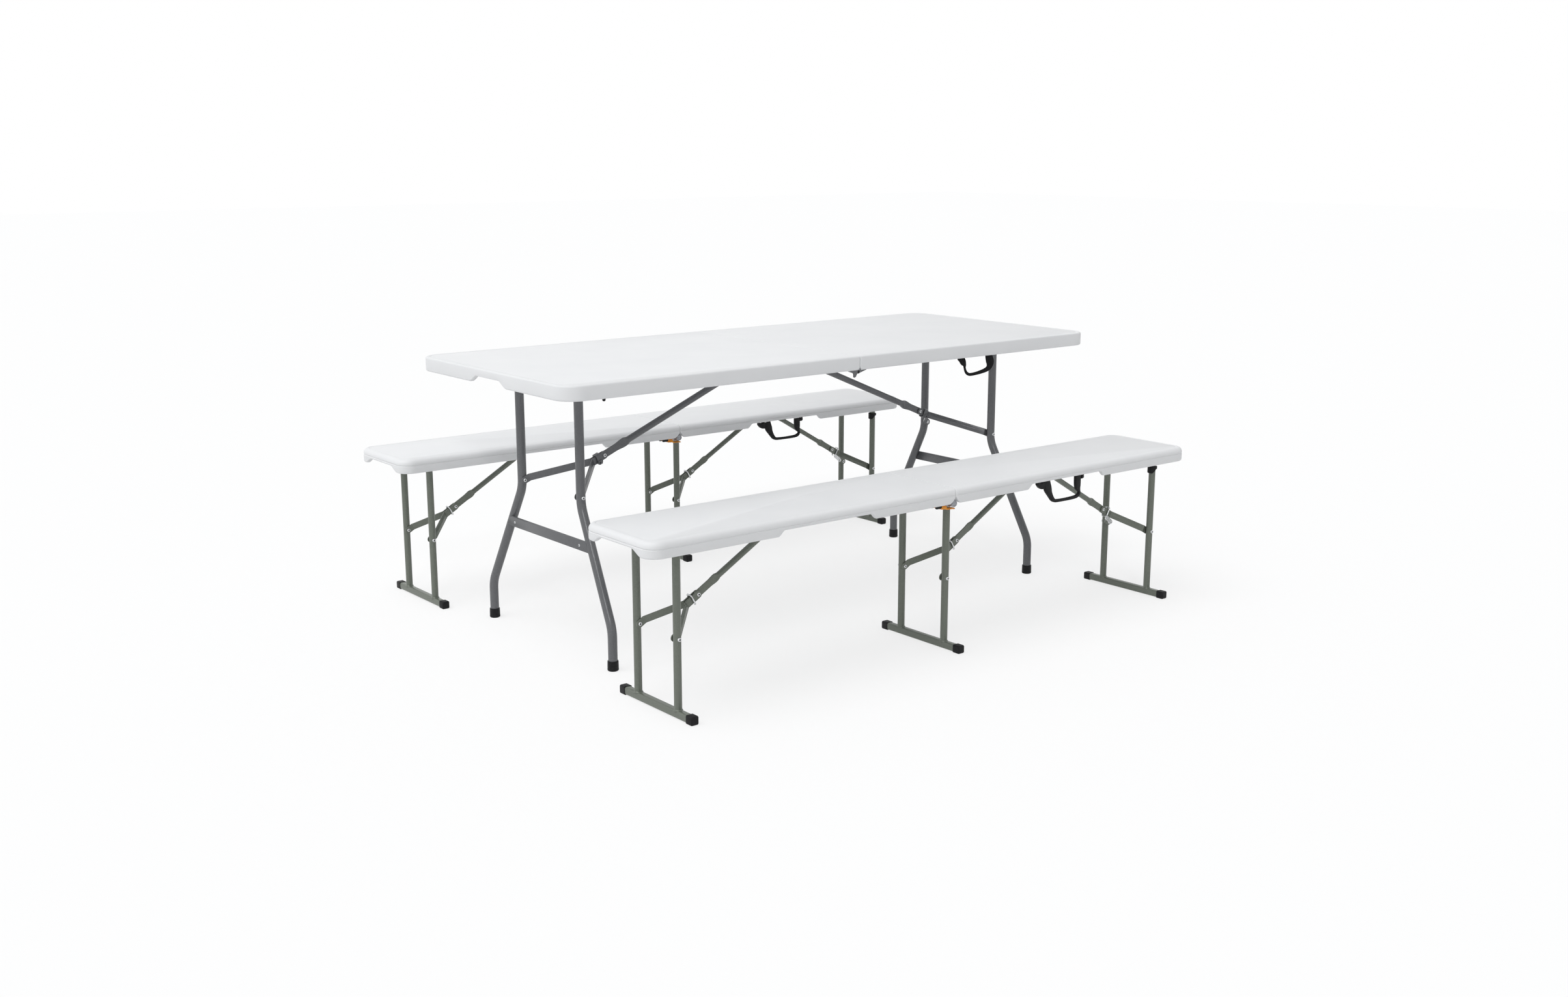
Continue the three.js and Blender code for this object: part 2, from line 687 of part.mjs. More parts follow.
// Brace: a round tube pressed flat at the knee and at its eye on the brace rod
function brace(leg) {
  const { braceR, armHeight, bladeLength, eyeLength } = leg.family;
  const length = leg.braceLength;
  const eyeFrom = length - eyeLength;
  const plates = [
    [stadium(0, bladeLength, armHeight), BLADE_THICK],
    [stadium(eyeFrom, length, 2 * (ROD_R + BOSS_WALL)), EYE_THICK],
  ].map(([shape, thick]) => solid(place(centredPrism(shape, thick), leg.knee, leg.along, leg.under)));
  const taper = 2 * braceR;
  const profile = [
    [0, bladeLength - taper],
    [BLADE_THICK / 2, bladeLength - taper],
    [braceR, bladeLength],
    [braceR, eyeFrom - taper],
    [EYE_THICK / 2, eyeFrom],
    [0, eyeFrom],
  ].map(([radius, u]) => new THREE.Vector2(radius, u));
  const tube = new THREE.LatheGeometry(profile, TUBE_SIDES);
  place(tube, leg.knee, leg.under, leg.along);
  const anchor = leg.knee.clone().addScaledVector(leg.along, length);
  const holes = unite([
    rodAlongY(leg.knee.x, leg.knee.z, boreFor(KNEE_PIN_R), -BLADE_THICK, BLADE_THICK),
    rodAlongY(anchor.x, anchor.z, boreFor(ROD_R), -EYE_THICK, EYE_THICK),
  ]);
  return unite([solid(tube), ...plates]).subtract(holes);
}

function braceRod(leg) {
  return rodAlongY(leg.anchorX, leg.family.pivotZ, ROD_R, -ROD_HALF_LENGTH, ROD_HALF_LENGTH);
}

// Lock: a loop round both arms that slides towards the leg to free the knee.
// It is split underneath, where the brace swings in between the arms as the leg folds.
function lockLoop(leg) {
  const { tubeR, halfSpacing, armHeight, ringDepth, ringGap } = leg.family;
  const spread = (halfSpacing - tubeR) / (leg.forkLength - ARM_PARALLEL - ARM_STRAIGHT);
  const past = RING_FROM_KNEE + RING_TRAVEL + ringDepth / 2 - ARM_PARALLEL;
  const halfWide = SLOT / 2 + ARM_THICK + Math.max(past, 0) * spread + RING_SIDE_GAP;
  const halfTall = armHeight / 2 + ringGap;
  const opening = panelOutline(-halfWide, halfWide, halfTall, OVERRUN, OVERRUN);
  const round = RING_WALL + OVERRUN;
  const outside = halfWide + RING_WALL;
  const loop = panelOutline(-outside, outside, halfTall + RING_WALL, round, round);
  loop.holes.push(new THREE.Path(opening.getPoints(EDGE_STEPS)));
  const centre = leg.knee.clone().addScaledVector(leg.along, -RING_FROM_KNEE);
  const split = new THREE.BoxGeometry(SLOT, 4 * RING_WALL, 2 * ringDepth);
  split.translate(0, halfTall + RING_WALL, 0);
  const [band, gap] = [centredPrism(loop, ringDepth), split].map(
    (geometry) => solid(place(geometry, centre, Y_AXIS, leg.under)),
  );
  return band.subtract(gap);
}

// Carrying handle: a strap on two pins that project from lugs behind the skirt
function handlePlace(family, fromSeam, rise) {
  return {
    x0: fromSeam,
    x1: fromSeam + HANDLE_WIDTH,
    y: family.wall - family.width / 2 + Math.hypot(HANDLE_DEPTH / 2, HANDLE_EAR) + HANDLE_SWING_GAP,
    z: family.bottom + rise,
    family,
  };
}

function handle(at) {
  const { x0, x1, y, z } = at;
  const lean = HANDLE_SIDE / 2;
  const halfWidth = HANDLE_WIDTH / 2;
  const grip = HANDLE_STRAP - HANDLE_DROP;
  const rightSide = [
    [HANDLE_SIDE, -HANDLE_DROP],
    [lean, grip],
    [0, -HANDLE_EAR],
    [0, HANDLE_EAR],
    [HANDLE_SIDE, HANDLE_EAR],
    [HANDLE_SIDE, -HANDLE_EAR],
    [HANDLE_SIDE + lean, grip],
  ].map(([inset, up]) => new THREE.Vector2(halfWidth - inset, up));
  const leftSide = rightSide.map((point) => new THREE.Vector2(-point.x, point.y)).reverse();
  const outline = new THREE.Shape([...rightSide, ...leftSide]);
  const strap = centredPrism(outline, HANDLE_DEPTH);
  place(strap, new THREE.Vector3((x0 + x1) / 2, y, z), X_AXIS, Z_AXIS);
  const deep = HANDLE_PIN_LENGTH + CLEARANCE;
  const holes = [
    rodAlongX(y, z, boreFor(HANDLE_PIN_R), x0 - OVERRUN, x0 + deep),
    rodAlongX(y, z, boreFor(HANDLE_PIN_R), x1 - deep, x1 + OVERRUN),
  ];
  return solid(strap).subtract(unite(holes));
}

function handleLugs(at) {
  const { x0, x1, y, z, family } = at;
  const inner = family.wall - family.width / 2 - OVERRUN;
  const half = HANDLE_DEPTH / 2;
  const makeLug = (from, to) => block(from, to, inner, y + half, z - half, family.ceiling + OVERRUN);
  return {
    lugs: [
      makeLug(x0 - CLEARANCE - LUG_THICK, x0 - CLEARANCE),
      makeLug(x1 + CLEARANCE, x1 + CLEARANCE + LUG_THICK),
    ],
    pins: [
      rodAlongX(y, z, HANDLE_PIN_R, x0 - LUG_THICK / 2, x0 + HANDLE_PIN_LENGTH),
      rodAlongX(y, z, HANDLE_PIN_R, x1 - HANDLE_PIN_LENGTH, x1 + LUG_THICK / 2),
    ],
  };
}

// Seat latch: a small lever beside the seam, on a pin between two lugs
const LATCH = {
  x: -LATCH_PIVOT_FROM_SEAM,
  y: BENCH_WALL - BENCH_WIDTH / 2 + LATCH_WIDTH / 2 + LUG_THICK / 2,
  z: BENCH_HEIGHT - BENCH_SKIRT - LATCH_BARREL_R,
};

function latch() {
  const { x, y, z } = LATCH;
  const half = LATCH_WIDTH / 2;
  const barrel = rodAlongY(x, z, LATCH_BARREL_R, y - half, y + half);
  const lever = block(x, x + LATCH_LENGTH, y - half, y + half, z - LATCH_THICK, z);
  const lip = block(
    x + LATCH_LENGTH - LATCH_THICK,
    x + LATCH_LENGTH,
    y - half,
    y + half,
    z - 2 * LATCH_THICK,
    z,
  );
  const bore = rodAlongY(x, z, boreFor(HANDLE_PIN_R), y - 2 * half, y + 2 * half);
  return unite([barrel, lever, lip]).subtract(bore);
}

function latchLugs() {
  const { x, y, z } = LATCH;
  const near = LATCH_WIDTH / 2 + CLEARANCE;
  const far = near + LUG_THICK / 2;
  return {
    lugs: [-1, 1].map((face) => block(
      x - LATCH_BARREL_R,
      x + LATCH_BARREL_R,
      y + face * near,
      y + face * far,
      z - LATCH_BARREL_R,
      BENCH.ceiling + OVERRUN,
    )),
    pins: [rodAlongY(x, z, HANDLE_PIN_R, y - far, y + far)],
  };
}

// Assembly
const NOTHING = { skirtCuts: [], lugs: [], pins: [] };

function legSetParts(prefix, leg, steel, loopName, loopLook) {
  return [
    [`${prefix}_fork_${leg.name}`, fork(leg), steel],
    [`${prefix}_brace_${leg.name}`, brace(leg), steel],
    [`${prefix}_brace_rod_${leg.name}`, braceRod(leg), 'zinc_steel'],
    [`${prefix}_${loopName}_${leg.name}`, lockLoop(leg), loopLook],
  ];
}

function tableParts() {
  const at = handlePlace(TABLE, TABLE_HANDLE_FROM_SEAM, TABLE_HANDLE_RISE);
  const [left, right] = TABLE_LEGS;
  const parts = [
    ['table_top_left', moulding(TABLE, -1, [left], NOTHING), 'white_hdpe'],
    ['table_top_right', moulding(TABLE, 1, [right], { ...NOTHING, ...handleLugs(at) }), 'white_hdpe'],
    ['table_hinge_rod', hingeRod(TABLE), 'zinc_steel'],
    ['table_handle', handle(at), 'black_plastic'],
  ];
  for (const leg of TABLE_LEGS) {
    parts.push(
      [`table_leg_${leg.name}`, tableLeg(leg), 'dark_steel'],
      [`table_crossbar_${leg.name}`, crossbar(leg), 'dark_steel'],
      [`table_foot_${leg.name}_front`, tableFoot(leg, -1), 'black_plastic'],
      [`table_foot_${leg.name}_back`, tableFoot(leg, 1), 'black_plastic'],
      ...legSetParts('table', leg, 'dark_steel', 'collar', 'dark_steel'),
    );
  }
  return parts;
}

function benchParts() {
  const at = handlePlace(BENCH, BENCH_HANDLE_FROM_SEAM, BENCH_HANDLE_RISE);
  const [left, middle, right] = BENCH_LEGS;
  const leftExtras = { skirtCuts: [foldRoom(-1)], ...latchLugs() };
  const rightExtras = { skirtCuts: [foldRoom(1)], ...handleLugs(at) };
  const parts = [
    ['bench_seat_left', moulding(BENCH, -1, [left], leftExtras), 'white_hdpe'],
    ['bench_seat_right', moulding(BENCH, 1, [middle, right], rightExtras), 'white_hdpe'],
    ['bench_hinge_rod', hingeRod(BENCH), 'zinc_steel'],
    ['bench_handle', handle(at), 'black_plastic'],
    ['bench_latch', latch(), 'orange_plastic'],
  ];
  for (const leg of BENCH_LEGS) {
    parts.push([`bench_leg_${leg.name}`, benchLeg(leg), 'grey_steel']);
    parts.push(...legSetParts('bench', leg, 'grey_steel', 'ring', 'zinc_steel'));
  }
  return parts;
}

const group = new THREE.Group();
group.name = 'folding_table_with_benches';

function addPart(name, body, look, y) {
  const geometry = geometryOf(body);
  geometry.translate(0, y, 0);
  const mesh = new THREE.Mesh(geometry, MATERIALS[look]);
  mesh.name = name;
  group.add(mesh);
}

for (const [name, body, look] of tableParts()) {
  addPart(name, body, look, 0);
}

const bench = benchParts();
for (const [which, y] of [['near', -BENCH_OFFSET], ['far', BENCH_OFFSET]]) {
  for (const [name, body, look] of bench) {
    addPart(`${which}_${name}`, body, look, y);
  }
}

export default group;
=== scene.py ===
"""Looks of a folding table with two folding benches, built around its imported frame."""
import json
import math
from types import SimpleNamespace

import bmesh
import bpy
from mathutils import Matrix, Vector


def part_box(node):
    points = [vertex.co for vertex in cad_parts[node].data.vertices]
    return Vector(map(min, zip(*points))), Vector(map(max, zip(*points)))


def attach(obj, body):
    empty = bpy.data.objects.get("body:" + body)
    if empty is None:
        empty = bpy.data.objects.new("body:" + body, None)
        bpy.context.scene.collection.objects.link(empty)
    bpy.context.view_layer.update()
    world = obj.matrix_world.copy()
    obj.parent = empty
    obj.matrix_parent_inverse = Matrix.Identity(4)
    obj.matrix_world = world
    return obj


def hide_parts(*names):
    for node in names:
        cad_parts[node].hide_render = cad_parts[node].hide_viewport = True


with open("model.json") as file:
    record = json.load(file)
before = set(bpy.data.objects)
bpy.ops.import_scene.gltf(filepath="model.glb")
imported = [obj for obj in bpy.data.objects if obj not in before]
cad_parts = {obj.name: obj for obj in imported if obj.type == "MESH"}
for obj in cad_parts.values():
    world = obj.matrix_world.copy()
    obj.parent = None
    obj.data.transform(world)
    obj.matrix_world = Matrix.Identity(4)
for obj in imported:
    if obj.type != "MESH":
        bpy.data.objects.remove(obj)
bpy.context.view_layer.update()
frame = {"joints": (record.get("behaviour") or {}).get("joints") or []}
joints = {joint["name"]: joint for joint in frame["joints"]}

X = Vector((1, 0, 0))
Y = Vector((0, 1, 0))
Z = Vector((0, 0, 1))

# The photograph's camera: its place, the turn about the vertical, the tilt and the lens
CAMERA_AT = (-2.8408, -3.5865, 1.2888)
CAMERA_YAW = -0.6765
CAMERA_PITCH = -0.2156
CAMERA_LENS = 37.015
CAMERA_SENSOR = 36.0

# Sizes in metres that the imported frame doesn't hold
SEAM_GAP = 0.0008
SEAM_CORNER = 0.004
SEAM_ROUND = 0.0016
LEAST_CORNER = 0.001
STATION_STEP = 0.05
STATION_LEAST = 0.0003
RAMP_STEPS = 8
CORNER_STEPS = 10
TUBE_SIDES = 24
BEND_STEPS = 10
RIVET_R = 0.005
RIVET_HEIGHT = 0.0025
ARM_THICK = 0.003
ARM_STRAIGHT = 0.016
ARM_PARALLEL = 0.038
BLADE_THICK = 0.004
BLADE_EVEN = 0.040
SLOT = 0.0052
RING_FROM_KNEE = 0.020
RING_SIDE_GAP = 0.001
RING_WALL = 0.0035
ROD_R = 0.004
EYE_THICK = 0.008
BOSS_WALL = 0.004
BOSS_CENTRE = 0.0195
BOSS_HALF = 0.0055
SADDLE_HALF = 0.008
SADDLE_WALL = 0.004
LUG_HALF = 0.004
PIN_R = 0.003
GAP = 0.0004

TABLE = SimpleNamespace(
    wall=0.012, plate=0.011, corner=0.055, edge=0.005, rim=0.0130, parting=None, foot_round=0.0045,
    grip_half=0.054, grip_rise=0.017, room=None, seam_cut=0.007,
    hinge_r=0.007, knuckle_r=0.011, knuckle_half=0.030,
    knuckles={-1: (-0.278, 0.0, 0.278), 1: (-0.206, 0.206)},
    tube_r=0.012, half_spacing=0.148, saddle_y=0.092,
    arm_height=0.020, brace_r=0.009, blade_length=0.088, blade_wide=0.0128, eye_length=0.027,
    ring_depth=0.015, ring_gap=0.0004,
    pocket_pitch=(0.074, 0.058), pocket_half=(0.022, 0.012),
)
BENCH = SimpleNamespace(
    wall=0.012, plate=0.012, corner=0.038, edge=0.014, rim=0.0175, parting=0.0175, foot_round=0.005,
    grip_half=0.062, grip_rise=0.016, room=(0.285, 0.555, 0.0141), seam_cut=0.018,
    hinge_r=0.009, knuckle_r=0.0126, knuckle_half=0.011,
    knuckles={-1: (-0.104, 0.0, 0.104), 1: (-0.077, 0.077)},
    tube_r=0.0095, half_spacing=0.082, saddle_y=0.051,
    arm_height=0.019, brace_r=0.0075, blade_length=0.074, blade_wide=0.0110, eye_length=0.022,
    ring_depth=0.004, ring_gap=0.0027,
    pocket_pitch=(0.070, 0.052), pocket_half=(0.020, 0.011),
)

# Table legs
CROSSBAR_HALF = 0.004
CROSSBAR_ROUND = 0.0030
CROSSBAR_PROUD = 0.0008
CROSSBAR_END_GAP = 0.001
CROSSBAR_RIVET_IN = 0.037
CROSSBAR_RIVET_R = 0.0036
TABLE_BENDS_Z = (0.105, 0.395)
TABLE_SPLAY_BEND = 0.090
TABLE_TOP_BEND = 0.026
TABLE_FOOT_R = 0.0145
TABLE_FOOT_HEIGHT = 0.026
TABLE_FOOT_FLOOR = 0.006
PEG_X = -0.805
LATCH_EYE_R = 0.0038
LATCH_CHEEK = (-0.011, 0.010)
LATCH_PIN_R = 0.0020
GRIP_RUN = 2.3
ROOM_RUN = 1.3

# Bench legs and hinge
BENCH_ROD_REACH = 0.001
BENCH_TOP_BEND = 0.020
BAR_HALF = 0.0095
BAR_ROUND = 0.0045
CAP_HALF = 0.0108
CAP_LENGTH = 0.022
CAP_ROUND = 0.0035


# Mesh building

class Shape:
    """Vertices and faces gathered for one mesh."""

    def __init__(self):
        self.verts = []
        self.faces = []

    def loft(self, rings, loop=False):
        """Joins closed rings of equal length by quads, and closes both ends or the loop."""
        start = len(self.verts)
        count = len(rings[0])
        for ring in rings:
            self.verts.extend(ring)
        steps = len(rings) if loop else len(rings) - 1
        for i in range(steps):
            here = start + i * count
            ahead = start + (i + 1) % len(rings) * count
            for j in range(count):
                after = (j + 1) % count
                self.faces.append((here + j, here + after, ahead + after, ahead + j))
        if not loop:
            last = start + (len(rings) - 1) * count
            self.faces.append(tuple(start + j for j in reversed(range(count))))
            self.faces.append(tuple(last + j for j in range(count)))


def build_mesh(name, shape, sharp_deg=38):
    mesh = bpy.data.meshes.new(name)
    mesh.from_pydata(shape.verts, [], shape.faces)
    finish_mesh(mesh, sharp_deg)
    obj = bpy.data.objects.new(name, mesh)
    bpy.context.scene.collection.objects.link(obj)
    return obj


def finish_mesh(mesh, sharp_deg):
    """Faces point outwards and shade smooth, apart from edges sharper than the angle."""
    bm = bmesh.new()
    bm.from_mesh(mesh)
    bmesh.ops.recalc_face_normals(bm, faces=bm.faces)
    limit = math.radians(sharp_deg)
    for face in bm.faces:
        face.smooth = True
    for edge in bm.edges:
        edge.smooth = len(edge.link_faces) == 2 and edge.calc_face_angle(0) < limit
    bm.to_mesh(mesh)
    bm.free()


def add_piece(name, shape, look, body, stands_for=()):
    obj = build_mesh(name, shape)
    obj.data.materials.append(LOOKS[look])
    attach(obj, body)
    if stands_for:
        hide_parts(*stands_for)
    return obj


def carve(obj, cutter_shape):
    """Cuts the cutter's closed shells out of a piece."""
    cutter = build_mesh("cutter", cutter_shape)
    modifier = obj.modifiers.new("cut", "BOOLEAN")
    modifier.operation = "DIFFERENCE"
    modifier.solver = "EXACT"
    modifier.object = cutter
    bpy.context.view_layer.update()
    graph = bpy.context.evaluated_depsgraph_get()
    carved = bpy.data.meshes.new_from_object(obj.evaluated_get(graph))
    obj.modifiers.clear()
    obj.data = carved
    finish_mesh(carved, 38)
    bpy.data.objects.remove(cutter)


def circle(radius, count=TUBE_SIDES):
    turns = [2 * math.pi * i / count for i in range(count)]
    return [(radius * math.cos(a), radius * math.sin(a)) for a in turns]


def oval(half_a, half_b, power, count=TUBE_SIDES):
    """An ellipse at power 2, and nearer a rectangle the higher the power."""
    points = []
    for i in range(count):
        turn = 2 * math.pi * (i + 0.5) / count
        c, s = math.cos(turn), math.sin(turn)
        points.append((
            half_a * math.copysign(abs(c) ** (2 / power), c),
            half_b * math.copysign(abs(s) ** (2 / power), s),
        ))
    return points


def round_box(half_a, half_b, radius, steps=4):
    """A rectangle with round corners."""
    points = []
    for corner, (a, b) in enumerate(((1, 1), (-1, 1), (-1, -1), (1, -1))):
        for i in range(steps + 1):
            turn = math.pi / 2 * (corner + i / steps)
            points.append((
                a * (half_a - radius) + radius * math.cos(turn),
                b * (half_b - radius) + radius * math.sin(turn),
            ))
    return points


def bent(corners, bends):
    """Corner points joined by straight runs, with a round bend at each inner corner."""
    points = [corners[0]]
    for before, at, after, bend in zip(corners, corners[1:], corners[2:], bends):
        back = (before - at).normalized()
        ahead = (after - at).normalized()
        half = back.angle(ahead) / 2
        centre = at + (back + ahead).normalized() * (bend / math.sin(half))
        start = at + back * (bend / math.tan(half)) - centre
        end = at + ahead * (bend / math.tan(half)) - centre
        sweep = start.angle(end)
        for i in range(BEND_STEPS + 1):
            share = i / BEND_STEPS
            weights = (math.sin((1 - share) * sweep), math.sin(share * sweep))
            points.append(centre + (start * weights[0] + end * weights[1]) / math.sin(sweep))
    points.append(corners[-1])
    return points


def sweep(shape, path, side, section):
    """Carries a section along a path that is about square to side. The section may be one list or one per point."""
    rings = []
    for i, point in enumerate(path):
        ahead = path[min(i + 1, len(path) - 1)] - point
        back = point - path[max(i - 1, 0)]
        tangent = (ahead.normalized() + back.normalized()).normalized()
        across = (side - tangent * side.dot(tangent)).normalized()
        up = across.cross(tangent)
        here = section[i] if isinstance(section[0], list) else section
        rings.append([point + across * a + up * b for a, b in here])
    shape.loft(rings)


def lathe(shape, centre, axis, profile, count=TUBE_SIDES, loop=False):
    """Turns (radius, height) points about an axis. A closed profile makes a ring."""
    first = axis.orthogonal().normalized()
    second = axis.cross(first)
    rings = []
    for radius, height in profile:
        rings.append([
            centre + axis * height + first * a + second * b for a, b in circle(max(radius, 1e-5), count)
        ])
    shape.loft(rings, loop)


def rivet(shape, centre, axis, radius):
    """A hollow head standing on a surface at its centre."""
    lathe(shape, centre, axis, [
        (radius, -0.0008),
        (radius, 0.0006),
        (0.94 * radius, 0.55 * RIVET_HEIGHT),
        (0.78 * radius, 0.9 * RIVET_HEIGHT),
        (0.58 * radius, RIVET_HEIGHT),
        (0.44 * radius, 0.9 * RIVET_HEIGHT),
        (0.40 * radius, -0.0006),
    ], 20)


def rivet_hole_shade(shape, centre, axis, radius):
    """A black plug inside a hollow rivet, as painted shade for its deep hole."""
    lathe(shape, centre, axis, [
        (0.405 * radius, -0.0006), (0.405 * radius, 0.0008), (0.20 * radius, 0.0012), (0.08 * radius, 0.0013),
    ], 16)


def add_rivets(name, heads, body, radius=RIVET_R):
    """Rivets at (centre, axis) places, each with a black plug in its hollow as painted shade."""
    shape, hole_shades = Shape(), Shape()
    for centre, axis in heads:
        rivet(shape, centre, axis, radius)
        rivet_hole_shade(hole_shades, centre, axis, radius)
    add_piece(name, shape, "zinc_steel", body)
    # Black plugs as painted shade, where the rivet holes would lie in shadow.
    add_piece(f"{name}_eyes", hole_shades, "black_plastic", body)


def eye_block(shape, centre, across, up, half_thick, radius, reach, bore, bevel=0.0008):
    """A block with a bore and a round end, reaching up from the bore's centre."""
    axis = across.cross(up)
    corner = math.atan2(reach, radius)
    turns = sorted([2 * math.pi * i / TUBE_SIDES for i in range(TUBE_SIDES)] + [corner, math.pi - corner])

    def outline(inset):
        points = []
        for turn in turns:
            c, s = math.cos(turn), math.sin(turn)
            far = radius
            if s > 1e-9:
                far = min(radius / max(abs(c), 1e-9), reach / s)
            points.append(((far - inset) * c, (far - inset) * s))
        return points

    hole = [(bore * math.cos(turn), bore * math.sin(turn)) for turn in turns]
    rings = [
        (hole, -half_thick),
        (outline(bevel), -half_thick),
        (outline(0), bevel - half_thick),
        (outline(0), half_thick - bevel),
        (outline(bevel), half_thick),
        (hole, half_thick),
    ]
    shape.loft([[centre + across * a + up * b + axis * t for a, b in ring] for ring, t in rings], loop=True)


# Materials

def new_look(name, color, roughness, metallic=0.0):
    look = bpy.data.materials.new(name)
    look.use_nodes = True
    shader = look.node_tree.nodes["Principled BSDF"]
    shader.inputs["Base Color"].default_value = (*color, 1)
    shader.inputs["Roughness"].default_value = roughness
    shader.inputs["Metallic"].default_value = metallic
    return look, look.node_tree, shader


def noise(tree, scale, detail=3.0, roughness=0.55):
    place = tree.nodes.get("Place") or tree.nodes.new("ShaderNodeTexCoord")
    place.name = "Place"
    node = tree.nodes.new("ShaderNodeTexNoise")
    node.inputs["Scale"].default_value = scale
    node.inputs["Detail"].default_value = detail
    node.inputs["Roughness"].default_value = roughness
    tree.links.new(place.outputs["Object"], node.inputs["Vector"])
    return node.outputs["Fac"]


def spread(tree, value, low, high, between=(0.3, 0.7)):
    """Maps a noise value onto a range of numbers or of colours."""
    ramp = tree.nodes.new("ShaderNodeValToRGB")
    ends = [end if isinstance(end, tuple) else (end, end, end) for end in (low, high)]
    for element, position, color in zip(ramp.color_ramp.elements, between, ends):
        element.position = position
        element.color = (*color, 1)
    tree.links.new(value, ramp.inputs["Fac"])
    return ramp.outputs["Color"]


def bump(tree, shader, value, strength, distance, under=None):
    node = tree.nodes.new("ShaderNodeBump")
    node.inputs["Strength"].default_value = strength
    node.inputs["Distance"].default_value = distance
    tree.links.new(value, node.inputs["Height"])
    if under:
        tree.links.new(under.outputs["Normal"], node.inputs["Normal"])
    tree.links.new(node.outputs["Normal"], shader.inputs["Normal"])
    return node


def mottled(name, low, high, scale, roughness, metallic=0.0):
    """A look whose colour and roughness vary softly over the surface."""
    look, tree, shader = new_look(name, high, roughness[1], metallic)
    patches = noise(tree, scale)
    tree.links.new(spread(tree, patches, low, high), shader.inputs["Base Color"])
    tree.links.new(spread(tree, noise(tree, 4 * scale), *roughness), shader.inputs["Roughness"])
    return look, tree, shader


def make_looks():
    looks = {}
    look, tree, shader = mottled("white_hdpe", (0.800, 0.806, 0.815), (0.825, 0.829, 0.836), 7, (0.44, 0.56))
    pebble = bump(tree, shader, noise(tree, 420, 2.0), 0.16, 0.0006)
    bump(tree, shader, noise(tree, 9, 2.0), 0.10, 0.004, pebble)
    looks["white_hdpe"] = look

    look, tree, shader = mottled("dark_steel", (0.110, 0.112, 0.117), (0.176, 0.179, 0.187), 800, (0.20, 0.32), 0.20)
    bump(tree, shader, noise(tree, 500, 2.0), 0.30, 0.0004)
    shader.inputs["Specular IOR Level"].default_value = 0.35
    looks["dark_steel"] = look

    look, tree, shader = mottled("grey_steel", (0.132, 0.146, 0.121), (0.196, 0.214, 0.182), 800, (0.22, 0.34), 0.20)
    bump(tree, shader, noise(tree, 500, 2.0), 0.24, 0.0004)
    shader.inputs["Specular IOR Level"].default_value = 0.35
    looks["grey_steel"] = look

    look, tree, shader = mottled("zinc_steel", (0.52, 0.53, 0.54), (0.74, 0.75, 0.76), 160, (0.20, 0.36), 0.95)
    bump(tree, shader, noise(tree, 700, 2.0), 0.08, 0.0002)
    looks["zinc_steel"] = look

    look, tree, shader = mottled("dull_zinc", (0.24, 0.25, 0.27), (0.36, 0.37, 0.39), 200, (0.30, 0.44), 0.7)
    bump(tree, shader, noise(tree, 700, 2.0), 0.08, 0.0002)
    looks["dull_zinc"] = look

    # Real black plastic, and also painted shade where black pieces stand in for shadow: the rivet-hole plugs and the
    # latch's lugs and pin.
    look, tree, shader = mottled("black_plastic", (0.006, 0.006, 0.007), (0.012, 0.012, 0.013), 120, (0.42, 0.60))
    bump(tree, shader, noise(tree, 600, 2.0), 0.15, 0.0003)
    shader.inputs["Specular IOR Level"].default_value = 0.2
    looks["black_plastic"] = look

    look, tree, shader = mottled("orange_plastic", (0.76, 0.25, 0.005), (0.88, 0.33, 0.010), 90, (0.34, 0.46))
    bump(tree, shader, noise(tree, 500, 2.0), 0.10, 0.0003)
    looks["orange_plastic"] = look

    look, tree, shader = mottled("webbing", (0.005, 0.005, 0.006), (0.013, 0.013, 0.014), 200, (0.65, 0.85))
    weave = tree.nodes.new("ShaderNodeTexWave")
    weave.inputs["Scale"].default_value = 160
    weave.inputs["Distortion"].default_value = 1.0
    weave.bands_direction = "DIAGONAL"
    tree.links.new(tree.nodes["Place"].outputs["Object"], weave.inputs["Vector"])
    bump(tree, shader, weave.outputs["Fac"], 0.5, 0.0006)
    shader.inputs["Specular IOR Level"].default_value = 0.15
    looks["webbing"] = look
    return looks


LOOKS = make_looks()


# Moulded halves

def ramp_up(distance, run):
    share = min(max(distance / run, 0), 1)
    return share * share * (3 - 2 * share)


class Notch:
    """A stretch of a skirt whose lower edge is raised, with a smooth ramp at each end."""

    def __init__(self, low, high, rise, run):
        self.low, self.high, self.rise, self.run = low, high, rise, run

    def lift(self, place):
        return self.rise * min(
            ramp_up(place - self.low + self.run, self.run),
            ramp_up(self.high + self.run - place, self.run),
        )

    def marks(self):
        steps = [self.run * i / RAMP_STEPS for i in range(RAMP_STEPS + 1)]
        return [self.low - step for step in steps] + [self.high + step for step in steps]


def stations(low, high, notches):
    count = max(2, round((high - low) / STATION_STEP))
    places = {round(low + (high - low) * i / count, 5) for i in range(count + 1)}
    for notch in notches:
        places |= {round(mark, 5) for mark in notch.marks() if low < mark < high}
    return sorted(places)


